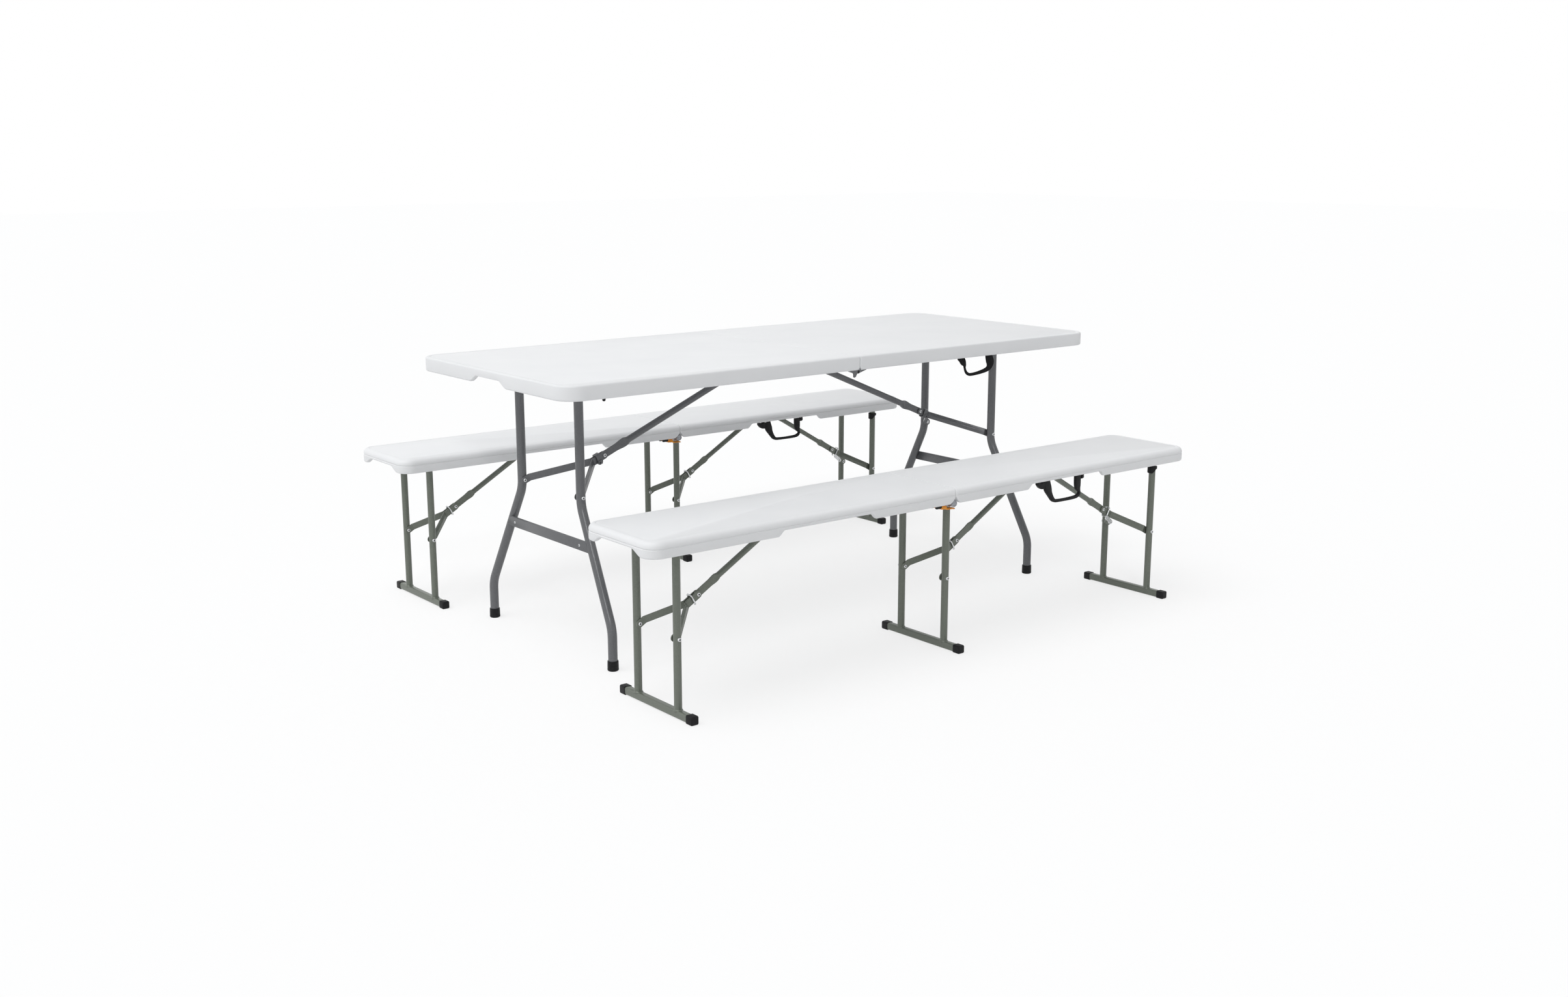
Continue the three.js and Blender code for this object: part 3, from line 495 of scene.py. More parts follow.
def panel_profile(family, depth):
    """(inset, drop, inset at the seam) from the flat top, down the skirt and up inside to the ceiling."""
    edge, rim, wall, low_round = family.edge, family.rim, family.wall, family.foot_round
    profile = [(rim + inset, drop, 1.6 * SEAM_ROUND) for inset, drop in (
        (0.0024, 0.0), (0.0012, 0.0009), (0.0, 0.0011), (-0.0012, 0.0003), (-0.0020, 0.0),
    )]
    for i in range(7):
        turn = math.pi / 2 * i / 6
        inset = edge * (1 - math.sin(turn))
        profile.append((inset, edge * (1 - math.cos(turn)), SEAM_ROUND * inset / edge))
    if family.parting:
        profile += [(inset, family.parting + drop, 0.0) for inset, drop in (
            (0.0, -0.0020), (0.0015, -0.0006), (0.0015, 0.0006), (0.0, 0.0020),
        )]
    for i in range(6):
        turn = math.pi / 2 * i / 5
        inset = low_round * (1 - math.cos(turn))
        profile.append((inset, depth - low_round * (1 - math.sin(turn)), inset))
    profile += [
        (wall - 0.0020, depth, wall - 0.0020),
        (wall - 0.0006, depth - 0.0006, wall - 0.0006),
        (wall, depth - 0.0020, wall),
        (wall, family.plate + 0.0040, wall),
        (wall + 0.0012, family.plate + 0.0012, wall + 0.0012),
        (wall + 0.0040, family.plate, wall + 0.0040),
    ]
    return profile


def panel_ring(at, inset, seam_inset, places):
    """One closed ring of (u, v, side): u from the seam to the end, v from front to back."""
    u0, u1, v1 = seam_inset, at.length - inset, at.half_width - inset
    r1 = max(at.family.corner - inset, LEAST_CORNER)
    r0 = max(SEAM_CORNER - inset, LEAST_CORNER)

    def corner(u, v, radius, first):
        turns = [math.pi / 2 * (first + i / CORNER_STEPS) for i in range(CORNER_STEPS + 1)]
        kind = "seam corner" if first > 0 else "end corner"
        return [(u + radius * math.cos(t), v + radius * math.sin(t), kind) for t in turns]

    long = [max(u, u0 + r0 + STATION_LEAST * (i + 1)) for i, u in enumerate(places["long"])]
    ring = [(u, -v1, "front") for u in long]
    ring += corner(u1 - r1, r1 - v1, r1, -1)
    ring += [(u1, v, "end") for v in places["end"]]
    ring += corner(u1 - r1, v1 - r1, r1, 0)
    ring += [(u, v1, "back") for u in reversed(long)]
    ring += corner(u0 + r0, v1 - r0, r0, 1)
    ring += [(u0, v, "seam") for v in reversed(places["seam"])]
    ring += corner(u0 + r0, r0 - v1, r0, 2)
    return ring


def seam_cut(family, u):
    """How far the lower corner beside the seam is cut back, to show the end of the hinge rod."""
    share = min(max(1 - u / family.seam_cut, 0), 1)
    return family.seam_cut * share * (0.35 + 0.65 * share) / (0.35 + 0.65)


def panel_shape(at):
    """The skirted half, with raised edges at its grip, its fold room and the other half's knuckles."""
    family = at.family
    relief = family.knuckle_r + 0.0015
    notches = {
        "end": [Notch(-family.grip_half, family.grip_half, family.grip_rise, GRIP_RUN * family.grip_rise)],
        "seam": [
            Notch(y - family.knuckle_half - 0.001, y + family.knuckle_half + 0.001, relief, 0.0015)
            for y in family.knuckles[-at.side]
        ],
        "long": [],
    }
    if family.room:
        low, high, rise = family.room
        notches["long"] = [Notch(low, high, rise, ROOM_RUN * rise)]
    inner = at.half_width - family.corner
    near_seam = [SEAM_CORNER + (0.02 - SEAM_CORNER) * share for share in (0.1, 0.3, 0.5, 0.75)]
    places = {
        "long": near_seam + stations(0.02, at.length - family.corner - GAP, notches["long"]),
        "end": stations(GAP - inner, inner - GAP, notches["end"]),
        "seam": stations(0.02 - at.half_width, at.half_width - 0.02, notches["seam"]),
    }
    along = {"front": "long", "back": "long", "end": "end", "seam": "seam"}
    still = max(family.edge, (family.parting or 0) + 0.002)
    rings = []
    for inset, drop, seam_inset in panel_profile(family, at.depth):
        share = max(drop - still, 0) / (at.depth - still)
        ring = []
        for u, v, side in panel_ring(at, inset, seam_inset, places):
            lift = 0 if side in ("seam", "end") else seam_cut(family, u)
            if side in along:
                place = u if along[side] == "long" else v
                lift += sum(notch.lift(place) for notch in notches[along[side]])
            ring.append(Vector((at.side * (SEAM_GAP / 2 + u), at.y + v, at.top - drop + share * lift)))
        rings.append(ring)
    shape = Shape()
    shape.loft(rings)
    return shape


def pockets(at, kept_clear):
    """Rows of shallow oval dimples in the ceiling, clear of what hangs from it."""
    (pitch_u, pitch_v), (half_u, half_v) = at.family.pocket_pitch, at.family.pocket_half
    ceiling = at.top - at.family.plate
    rows = int((at.half_width - 0.03) / pitch_v)
    columns = int((at.length - 0.05) / pitch_u)
    shape = Shape()
    for row in range(-rows, rows + 1):
        for column in range(columns):
            u = 0.05 + pitch_u * (column + (0.25 if row % 2 else 0.75))
            centre = Vector((at.side * u, at.y + row * pitch_v, 0))
            outside = u > at.length - 0.035 - half_u or abs(row * pitch_v) > at.half_width - 0.022 - half_v
            if outside or any(keep(centre, half_u, half_v) for keep in kept_clear):
                continue
            shape.loft([
                [centre + X * a + Y * b + Z * z for a, b in oval(half_u - s, half_v - s, 2.4, 20)]
                for s, z in ((-0.0008, ceiling - 0.002), (0.0012, ceiling + 0.0005), (0.0045, ceiling + 0.0050))
            ])
    return shape


def clear_of(x, y, half_x, half_y):
    """A test for dimples that would reach into a box."""
    def reaches(centre, half_u, half_v):
        return abs(centre.x - x) < half_x + half_u and abs(centre.y - y) < half_y + half_v
    return reaches


def moulded_half(prefix, at, body, legs):
    """A moulded half with its dimples, saddles and bosses, and the hinge barrels along its seam."""
    family = at.family
    kept_clear = []
    for leg in legs:
        kept_clear.append(clear_of(leg.pivot.x, at.y, 0.030, family.half_spacing + 0.02))
        kept_clear.append(clear_of(leg.anchor.x, at.y, 0.016, 0.032))
    kept_clear += [clear_of(x, y, half_x, half_y) for x, y, half_x, half_y in at.lugs]
    panel = add_piece(f"{prefix}_{at.half}", panel_shape(at), "white_hdpe", body, [f"{prefix}_{at.half}"])
    carve(panel, pockets(at, kept_clear))

    holders = Shape()
    ceiling = at.top - family.plate
    for leg in legs:
        for y in (-family.saddle_y, family.saddle_y):
            eye_block(holders, leg.pivot + Y * y, X, Z, SADDLE_HALF, family.tube_r + SADDLE_WALL,
                      ceiling - leg.pivot.z + 0.001, family.tube_r + GAP)
        for y in (-BOSS_CENTRE, BOSS_CENTRE):
            eye_block(holders, leg.anchor + Y * y, X, Z, BOSS_HALF, ROD_R + BOSS_WALL,
                      ceiling - leg.anchor.z + 0.001, ROD_R + GAP)
    add_piece(f"{prefix}_{at.half}_holders", holders, "white_hdpe", body)

    barrels = Shape()
    half = family.knuckle_half
    inner, outer = family.hinge_r + GAP, family.knuckle_r
    for y in family.knuckles[at.side]:
        lathe(barrels, Vector((0, at.y + y, at.top - at.depth)), Y, [
            (inner, -half),
            (outer - 0.001, -half),
            (outer, 0.001 - half),
            (outer, half - 0.001),
            (outer - 0.001, half),
            (inner, half),
        ], loop=True)
    add_piece(f"{prefix}_{at.half}_knuckles", barrels, "white_hdpe", body)


def hinge_rod(node, body, reach):
    """The hinge tube, whose plugged ends show in the cut corners of the seam."""
    low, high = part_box(node)
    centre = (low + high) / 2
    radius = (high.z - low.z) / 2
    half = (high.y - low.y) / 2 + reach
    ends = [(0.30, 0.0012), (0.72, 0.0012), (0.80, 0.0), (0.92, 0.0), (1.0, 0.0012)]
    shape = Shape()
    profile = [(share * radius, depth - half) for share, depth in ends]
    profile += [(share * radius, half - depth) for share, depth in reversed(ends)]
    lathe(shape, centre, Y, profile, 32)
    add_piece(node, shape, "dull_zinc", body, [node])


# Legs and folding braces

def joint_at(name):
    return Vector(joints[name]["pos_m"])


def box_middle(node):
    low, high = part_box(node)
    return (low + high) / 2


class LegSet:
    """The places of one leg and its brace, read from the frame's joints."""

    def __init__(self, prefix, name, family):
        self.prefix, self.name, self.family = prefix, name, family
        self.pivot = joint_at(f"{prefix}_leg_{name}_fold")
        self.anchor = joint_at(f"{prefix}_brace_{name}_swing")
        self.knee = joint_at(f"{prefix}_fork_{name}_swing")
        self.fold = math.copysign(1, self.anchor.x - self.pivot.x)
        self.along = (self.anchor - self.knee).normalized()
        self.under = Vector((self.fold * self.along.z, 0, -self.fold * self.along.x))
        self.fork_length = (self.knee.x - self.pivot.x) / self.along.x
        self.rivet = self.knee - self.along * self.fork_length

    def node(self, kind):
        return f"{self.prefix}_{kind}_{self.name}"


def tube_rivets(leg):
    outer = leg.family.half_spacing + leg.family.tube_r
    heads = [(leg.rivet + Y * face * outer, Y * face) for face in (-1, 1)]
    add_rivets(leg.node("leg_rivets"), heads, leg.node("leg"))


def table_leg(leg):
    family = leg.family
    low_z, high_z = TABLE_BENDS_Z
    feet = {where: box_middle(f"table_foot_{leg.name}_{where}") for where in ("front", "back")}
    foot_x, foot_y = feet["back"].x, feet["back"].y
    side = [
        (foot_x, foot_y, TABLE_FOOT_FLOOR + GAP),
        (foot_x, foot_y, low_z),
        (leg.pivot.x, family.half_spacing, high_z),
        (leg.pivot.x, family.half_spacing, leg.pivot.z),
    ]
    corners = [Vector((x, -y, z)) for x, y, z in side] + [Vector((x, y, z)) for x, y, z in reversed(side)]
    bends = [TABLE_SPLAY_BEND, TABLE_SPLAY_BEND, TABLE_TOP_BEND]
    shape = Shape()
    sweep(shape, bent(corners, bends + bends[::-1]), X, circle(family.tube_r))
    add_piece(leg.node("leg"), shape, "dark_steel", leg.node("leg"), [leg.node("leg")])
    tube_rivets(leg)

    crossbar(leg, feet["back"])
    for where, foot in feet.items():
        node = f"table_foot_{leg.name}_{where}"
        cap = Shape()
        radius, height = TABLE_FOOT_R, TABLE_FOOT_HEIGHT
        bore = family.tube_r + GAP
        lathe(cap, Vector((foot.x, foot.y, 0)), Z, [
            (0.5 * radius, 0.0),
            (0.86 * radius, 0.0),
            (0.97 * radius, 0.0012),
            (radius, 0.0035),
            (radius, 0.0065),
            (0.97 * radius, 0.0072),
            (0.97 * radius, 0.0080),
            (0.99 * radius, 0.0088),
            (0.965 * radius, height - 0.002),
            (0.93 * radius, height),
            (bore, height),
            (bore, TABLE_FOOT_FLOOR),
            (0.5 * radius, TABLE_FOOT_FLOOR),
        ], 32)
        add_piece(node, cap, "black_plastic", leg.node("leg"), [node])


def crossbar(leg, foot):
    """A formed bar that laps on the outer side of both tubes and is cut along their slope."""
    low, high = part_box(leg.node("crossbar"))
    low_z, high_z = TABLE_BENDS_Z
    z = (low.z + high.z) / 2
    slope = (foot.y - leg.family.half_spacing) / (high_z - low_z)
    at_tube = leg.family.half_spacing + slope * (high_z - z)
    tube_x = leg.pivot.x + (foot.x - leg.pivot.x) * (high_z - z) / (high_z - low_z)
    outward = -leg.fold
    face = tube_x + outward * (leg.family.tube_r + CROSSBAR_PROUD)
    section = round_box(CROSSBAR_HALF, (high.z - low.z) / 2, CROSSBAR_ROUND)
    middle = Vector((face - outward * CROSSBAR_HALF, 0, z))
    rings = []
    for side, short, shrink in ((-1, 0.0, 0.8), (-1, 0.0012, 1.0), (1, 0.0012, 1.0), (1, 0.0, 0.8)):
        rings.append([
            middle + X * a * shrink + Z * b + Y * side * (at_tube - CROSSBAR_END_GAP - short - slope * b)
            for a, b in section
        ])
    bar = Shape()
    bar.loft(rings)
    add_piece(leg.node("crossbar"), bar, "dark_steel", leg.node("leg"), [leg.node("crossbar")])
    heads = [(Vector((face, side * (at_tube - CROSSBAR_RIVET_IN), z)), X * outward) for side in (-1, 1)]
    add_rivets(leg.node("crossbar_rivets"), heads, leg.node("leg"), CROSSBAR_RIVET_R)


def strap(shape, path, thin, tall, half_thick, half_tall, rib=None):
    """A flat steel strap with round ends along a path. The rib is (its half height, its rise, first and last place)."""
    places = [0.0]
    for before, after in zip(path, path[1:]):
        places.append(places[-1] + (after - before).length)
    total = places[-1]
    marks = [half_tall * (1 - math.cos(math.pi / 2 * i / 6)) for i in range(7)]
    stops = set(places) | set(marks) | {total - mark for mark in marks}
    if rib:
        stops |= {rib[2], rib[2] + 0.006, rib[3] - 0.006, rib[3]}
    stops = sorted(stop for stop in {round(s, 6) for s in stops} if 0 <= stop <= total + 1e-9)
    rings = []
    for stop in stops:
        index = max(i for i in range(len(path) - 1) if places[i] <= stop + 1e-7)
        share = (stop - places[index]) / (places[index + 1] - places[index])
        point = path[index].lerp(path[index + 1], share)
        inward = min(stop, total - stop)
        height = half_tall
        if inward < half_tall:
            height = math.sqrt(max(half_tall ** 2 - (half_tall - inward) ** 2, (0.06 * half_tall) ** 2))
        normal = strap_normal(path, index, share, thin)
        rise, half_rib = 0.0, 0.3 * height
        if rib:
            rise = rib[1] * ramp_up(min(stop - rib[2], rib[3] - stop), 0.006)
            half_rib = min(rib[0], 0.3 * height)
        soft = min(0.0006, 0.3 * half_thick)
        outer = [
            (-height, soft - half_thick), (soft - height, -half_thick), (height - soft, -half_thick),
            (height, soft - half_thick), (height, half_thick - soft), (height - soft, half_thick),
            (1.6 * half_rib, half_thick), (half_rib, half_thick + rise), (-half_rib, half_thick + rise),
            (-1.6 * half_rib, half_thick), (soft - height, half_thick), (-height, half_thick - soft),
        ]
        rings.append([point + tall * a + normal * b for a, b in outer])
    shape.loft(rings)


def strap_normal(path, index, share, thin):
    """The strap's face direction, mitred where two runs of the path meet."""
    def across(i):
        run = (path[i + 1] - path[i]).normalized()
        square = thin - run * thin.dot(run)
        return square.normalized()
    here = across(index)
    neighbour = None
    if share < 1e-4 and index > 0:
        neighbour = across(index - 1)
    if share > 1 - 1e-4 and index < len(path) - 2:
        neighbour = across(index + 1)
    if neighbour is None:
        return here
    middle = (here + neighbour).normalized()
    return middle / middle.dot(here)


def fork(leg, look):
    family = leg.family
    wide = family.half_spacing - family.tube_r - GAP - ARM_THICK / 2
    narrow = (SLOT + ARM_THICK) / 2
    tail = family.arm_height / 2
    finish = leg.fork_length - ARM_PARALLEL
    arms, heads = Shape(), []
    for face in (-1, 1):
        path = [leg.rivet + leg.along * u + Y * face * y for u, y in (
            (-tail, wide), (ARM_STRAIGHT, wide), (finish, narrow), (leg.fork_length + tail, narrow),
        )]
        run = (path[2] - path[1]).length
        first = (path[1] - path[0]).length
        strap(arms, path, Y * face, leg.under, ARM_THICK / 2, tail,
              (0.28 * tail, 0.0012, first + 0.01, first + run - 0.012))
        heads.append((leg.rivet + Y * face * (wide - ARM_THICK / 2), -Y * face))
        heads.append((leg.knee + Y * face * (narrow + ARM_THICK / 2), Y * face))
    add_piece(leg.node("fork"), arms, look, leg.node("fork"), [leg.node("fork")])
    add_rivets(leg.node("fork_rivets"), heads, leg.node("fork"))


def brace(leg, look, half_body):
    """A tube pressed flat into a blade at the knee and into an eye on the brace rod."""
    family = leg.family
    length = (leg.anchor - leg.knee).length
    tall, thin, r = family.arm_height / 2, BLADE_THICK / 2, family.brace_r
    eye_tall, eye_thin = ROD_R + BOSS_WALL, EYE_THICK / 2
    eye_from = length - family.eye_length
    blade_to = family.blade_length - 2 * r
    rounded = [math.pi / 2 * i / 6 for i in range(7)]
    stops = [(-tall * math.cos(t), thin, max(tall * math.sin(t), 0.0004), 8) for t in rounded]
    wide = family.blade_wide
    for i in range(7):
        stops.append((BLADE_EVEN + (blade_to - BLADE_EVEN) * i / 6, thin, tall + (wide - tall) * ramp_up(i, 6), 8))
    for i in range(1, 9):
        share = ramp_up(i, 8)
        stops.append((blade_to + 1.7 * r * i / 8, thin + (r - thin) * share, wide + (r - wide) * share, 8 - 6 * share))
    for i in range(9):
        share = ramp_up(i, 8)
        stops.append((eye_from - 2 * r + 2 * r * i / 8, r + (eye_thin - r) * share,
                      r + (eye_tall - r) * share, 2 + 5 * share))
    stops += [(length + eye_tall * math.sin(t), eye_thin, max(eye_tall * math.cos(t), 0.0004), 7) for t in rounded]
    shape = Shape()
    shape.loft([
        [leg.knee + leg.along * at + Y * a + leg.under * b for a, b in oval(half_thin, half_tall, power, 28)]
        for at, half_thin, half_tall, power in stops
    ])
    add_piece(leg.node("brace"), shape, look, leg.node("brace"), [leg.node("brace")])

    low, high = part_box(leg.node("brace_rod"))
    rod = Shape()
    half = (high.y - low.y) / 2
    lathe(rod, leg.anchor, Y, [
        (0.7 * ROD_R, -half), (ROD_R, 0.001 - half), (ROD_R, half - 0.001), (0.7 * ROD_R, half),
    ])
    add_piece(leg.node("brace_rod"), rod, "zinc_steel", half_body, [leg.node("brace_rod")])


def lock_outline(leg, radius):
    """Half sizes of the line that a lock loop's middle follows round the fork's arms."""
    half_wide = SLOT / 2 + ARM_THICK + RING_SIDE_GAP + radius
    half_tall = leg.family.arm_height / 2 + leg.family.ring_gap + radius
    return half_wide, half_tall


def lock_path(leg, half_wide, half_tall, bend, gap):
    centre = leg.knee - leg.along * RING_FROM_KNEE
    corners = [centre + Y * y + leg.under * down for y, down in (
        (gap, half_tall), (half_wide, half_tall), (half_wide, -half_tall),
        (-half_wide, -half_tall), (-half_wide, half_tall), (-gap, half_tall),
    )]
    return bent(corners, [bend] * 4)


def table_collar(leg):
    half_wide, half_tall = lock_outline(leg, RING_WALL / 2)
    path = lock_path(leg, half_wide, half_tall, 0.003, SLOT / 2)
    shape = Shape()
    sweep(shape, path, leg.along, round_box(leg.family.ring_depth / 2, RING_WALL / 2, 0.001, 2))
    ear = leg.knee - leg.along * (RING_FROM_KNEE + 0.004) - Y * (half_wide + RING_WALL / 2 + 0.0010)
    eye_block(shape, ear + leg.under * 0.0085, leg.under, leg.along, 0.0013, 0.0060, 0.008, 0.0028)
    add_piece(leg.node("collar"), shape, "dark_steel", leg.node("collar"), [leg.node("collar")])


def bench_ring(leg):
    wire = leg.family.ring_depth / 2
    half_wide, half_tall = lock_outline(leg, wire)
    shape = Shape()
    sweep(shape, lock_path(leg, half_wide, half_tall, 0.005, SLOT / 2 + wire), leg.along, circle(wire, 16))
    if leg.name == "right":
        start = leg.knee - leg.along * RING_FROM_KNEE - Y * 0.0066 + leg.under * half_tall
        end = start - leg.along * 0.030 + leg.under * 0.0045
        up = (start - end).normalized()
        eye_block(shape, end, Y.cross(up), up, 0.0012, 0.0060, (start - end).length, 0.0026)
    add_piece(leg.node("ring"), shape, "zinc_steel", leg.node("ring"), [leg.node("ring")])


def bench_leg(leg):
    family = leg.family
    low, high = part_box(leg.node("leg"))
    half_bar = (high.y - low.y) / 2
    bar_z = CAP_HALF

    def corner(y, z):
        return Vector((leg.pivot.x, leg.pivot.y + y, z))

    spacing = family.half_spacing
    path = bent([
        corner(-spacing, bar_z), corner(-spacing, leg.pivot.z), corner(spacing, leg.pivot.z), corner(spacing, bar_z),
    ], [BENCH_TOP_BEND] * 2)
    shape = Shape()
    sweep(shape, path, X, circle(family.tube_r))
    bar = half_bar - CAP_LENGTH / 2
    sweep(shape, [corner(-bar, bar_z), corner(bar, bar_z)], X, round_box(BAR_HALF, BAR_HALF, BAR_ROUND))
    for face in (-1, 1):
        collar = corner(face * spacing, bar_z + BAR_HALF)
        lathe(shape, collar, Z, [
            (family.tube_r + 0.0024, -0.0022), (family.tube_r + 0.0020, -0.0004),
            (family.tube_r + 0.0008, 0.0012), (family.tube_r - 0.0005, 0.0022),
        ])
    add_piece(leg.node("leg"), shape, "grey_steel", leg.node("leg"), [leg.node("leg")])
    tube_rivets(leg)

    caps = Shape()
    for face in (-1, 1):
        rings = []
        for depth, shrink in ((CAP_LENGTH, 0.0), (0.0030, 0.0), (0.0012, 0.0006), (0.0002, 0.0018), (0.0, 0.0034)):
            section = round_box(CAP_HALF - shrink, CAP_HALF - shrink, CAP_ROUND)
            rings.append([corner(face * (half_bar - depth), bar_z) + X * a + Z * b for a, b in section])
        caps.loft(rings)
    add_piece(leg.node("leg_caps"), caps, "black_plastic", leg.node("leg"))


def leg_clip(leg):
    """A black clip round the front tube, just under the seat."""
    centre = Vector((leg.pivot.x, leg.pivot.y - leg.family.half_spacing, leg.pivot.z - 0.027))
    inner, outer = leg.family.tube_r + 0.0002, leg.family.tube_r + 0.0042
    first, last = math.radians(120), math.radians(300)
    rings = []
    for i in range(19):
        turn = first + (last - first) * i / 18
        out = X * math.cos(turn) + Y * math.sin(turn)
        foot = -0.011 + 0.012 * ramp_up(turn - math.radians(215), math.radians(70))
        rings.append([
            centre + out * radius + Z * z for radius, z in (
                (inner, foot), (outer - 0.001, foot), (outer, foot + 0.001),
                (outer, 0.009), (outer - 0.001, 0.010), (inner, 0.010),
            )
        ])
    shape = Shape()
    shape.loft(rings)
    add_piece(leg.node("leg_clip"), shape, "black_plastic", leg.node("leg"))


# Carrying handles, latch and hinge bracket

def ribbon(shape, centre_y, points, half_thick):
    """A strap in an upright plane through (x, z, half width) points."""
    path = [Vector((x, centre_y, z)) for x, z, _ in points]
    sections = [round_box(half_thick, half, min(half_thick, half) * 0.5, 3) for _, _, half in points]
    sweep(shape, path, Y, sections)


def smooth_points(points, steps=6):
    """A smooth run through the points."""
    ends = [points[0], *points, points[-1]]
    found = []
    for a, b, c, d in zip(ends, ends[1:], ends[2:], ends[3:]):
        for i in range(steps):
            t = i / steps
            found.append(tuple(
                0.5 * (2 * q + (r - p) * t + (2 * p - 5 * q + 4 * r - s) * t * t + (3 * q - p - 3 * r + s) * t ** 3)
                for p, q, r, s in zip(a, b, c, d)
            ))
    return found + [points[-1]]


def handle_lugs(node, name, body, pivot):
    low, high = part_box(node)
    lugs = Shape()
    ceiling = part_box(name)[1].z - TABLE.plate
    for x in (low.x - LUG_HALF - GAP, high.x + LUG_HALF + GAP):
        eye_block(lugs, Vector((x, pivot.y, pivot.z)), Y, Z, LUG_HALF, 0.006, ceiling - pivot.z, PIN_R + GAP)
    add_piece(f"{node}_lugs", lugs, "black_plastic", body)
    pins = Shape()
    for x, turn in ((low.x - 2 * LUG_HALF, 1), (high.x + 2 * LUG_HALF, -1)):
        lathe(pins, Vector((x, pivot.y, pivot.z)), X * turn, [
            (0.0052, -0.0016), (0.0052, 0.0), (PIN_R, 0.0), (PIN_R, 0.0155), (0.8 * PIN_R, 0.0160),
        ], 16)
    add_piece(f"{node}_pins", pins, "zinc_steel", body)


def table_handle():
    """A webbing handle with broad ends, sewn to a narrow grip."""
    pivot = joint_at("table_handle_swing")
    shape = Shape()
    ribbon(shape, pivot.y, smooth_points([
        (0.3935, 0.713, 0.0120), (0.3965, 0.703, 0.0125), (0.4010, 0.696, 0.0105), (0.4075, 0.686, 0.0092),
        (0.4120, 0.679, 0.0052), (0.4130, 0.672, 0.0026), (0.4155, 0.664, 0.0028), (0.4205, 0.6565, 0.0036),
        (0.4300, 0.6510, 0.0042), (0.4420, 0.6500, 0.0042), (0.4590, 0.6512, 0.0044), (0.4770, 0.6535, 0.0050),
        (0.4950, 0.6570, 0.0058), (0.5070, 0.6615, 0.0070), (0.5135, 0.6690, 0.0105), (0.5155, 0.679, 0.0138),
        (0.5120, 0.690, 0.0132), (0.5090, 0.699, 0.0118), (0.5080, 0.713, 0.0115),
    ]), 0.0030)
    add_piece("table_handle", shape, "webbing", "table_handle", ["table_handle"])
    handle_lugs("table_handle", "table_top_right", "table_right", pivot)


def bench_handle(prefix):
    """A moulded handle with a flat foot at its left end."""
    node = f"{prefix}_handle"
    pivot = joint_at(f"{node}_swing")
    shape = Shape()
    ribbon(shape, pivot.y, smooth_points([
        (0.3590, 0.409, 0.0115), (0.3610, 0.400, 0.0125), (0.3655, 0.387, 0.0125), (0.3712, 0.3755, 0.0092),
        (0.3775, 0.3655, 0.0072), (0.3850, 0.3560, 0.0060), (0.3945, 0.3508, 0.0046), (0.4100, 0.3494, 0.0040),
        (0.4300, 0.3490, 0.0038), (0.4500, 0.3490, 0.0040), (0.4740, 0.3500, 0.0042), (0.4860, 0.3530, 0.0044),
        (0.4918, 0.3582, 0.0034), (0.4915, 0.3640, 0.0034), (0.4880, 0.3700, 0.0068), (0.4852, 0.3770, 0.0096),
        (0.4842, 0.389, 0.0108), (0.4838, 0.409, 0.0108),
    ]), 0.0045)
    add_piece(node, shape, "black_plastic", node, [node])
    handle_lugs(node, f"{prefix}_seat_right", f"{prefix}_right", pivot)

    foot, rim = Shape(), []
    for x, z, half in ((0.3220, 0.4060, 0.0040), (0.3290, 0.4020, 0.0078), (0.3380, 0.3990, 0.0090), (0.3482, 0.3985, 0.0092)):
        rim.append([Vector((x, pivot.y, z)) + Y * a + Z * b for a, b in round_box(0.0055, half, 0.0022, 3)])
    foot.loft(rim)
    add_piece(f"{node}_foot", foot, "black_plastic", f"{prefix}_right")


def bench_latch(prefix):
    """A lever whose tail passes under the hinge."""
    node = f"{prefix}_latch"
    pivot = joint_at(f"{node}_turn")
    low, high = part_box(node)
    half = (high.y - low.y) / 2
    shape = Shape()
    eye_block(shape, pivot, -Z, X, half, LATCH_EYE_R, 0.010, LATCH_PIN_R + GAP)
    lever = []
    for x, top, bottom in (
        (0.004, 0.0035, -0.0020), (0.010, 0.0040, -0.0030), (0.014, 0.0040, -0.0082), (0.024, 0.0030, -0.0092),
        (0.030, 0.0, -0.0086), (0.0335, -0.0080, -0.0115), (0.040, -0.0084, -0.0118), (0.052, -0.0084, -0.0120),
        (0.0580, -0.0088, -0.0132), (0.0605, -0.0100, -0.0130),
    ):
        section = round_box(half - 0.0004, (top - bottom) / 2, 0.0014, 3)
        middle = pivot + X * x + Z * (top + bottom) / 2
        lever.append([middle + Y * a + Z * b for a, b in section])
    shape.loft(lever)
    add_piece(node, shape, "orange_plastic", node, [node])
    # The lugs are black as painted shade, standing in for the shadow under the seat's skirt beside the latch.
    cheeks = Shape()
    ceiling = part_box(f"{prefix}_seat_left")[1].z - BENCH.plate - pivot.z
    left, right = LATCH_CHEEK
    for face in (-1, 1):
        middle = pivot + Vector(((left + right) / 2, face * (half + GAP + 0.002), (ceiling - LATCH_EYE_R) / 2))
        cheeks.loft([
            [middle + X * a + Y * y + Z * b for a, b in round_box(
                (right - left) / 2 - inset, (ceiling + LATCH_EYE_R) / 2 - inset, LATCH_EYE_R - inset, 5)]
            for inset, y in ((0.0005, -0.002), (0.0, -0.0015), (0.0, 0.0015), (0.0005, 0.002))
        ])
    add_piece(f"{node}_cheeks", cheeks, "black_plastic", f"{prefix}_left")
    # The pin is black as painted shade too.
    pin = Shape()
    reach = half + 0.0048
    lathe(pin, pivot, Y, [
        (0.8 * LATCH_PIN_R, -reach), (LATCH_PIN_R, 0.0006 - reach), (LATCH_PIN_R, reach - 0.0006),
        (0.8 * LATCH_PIN_R, reach),
    ], 16)
    add_piece(f"{node}_pin", pin, "black_plastic", f"{prefix}_left")


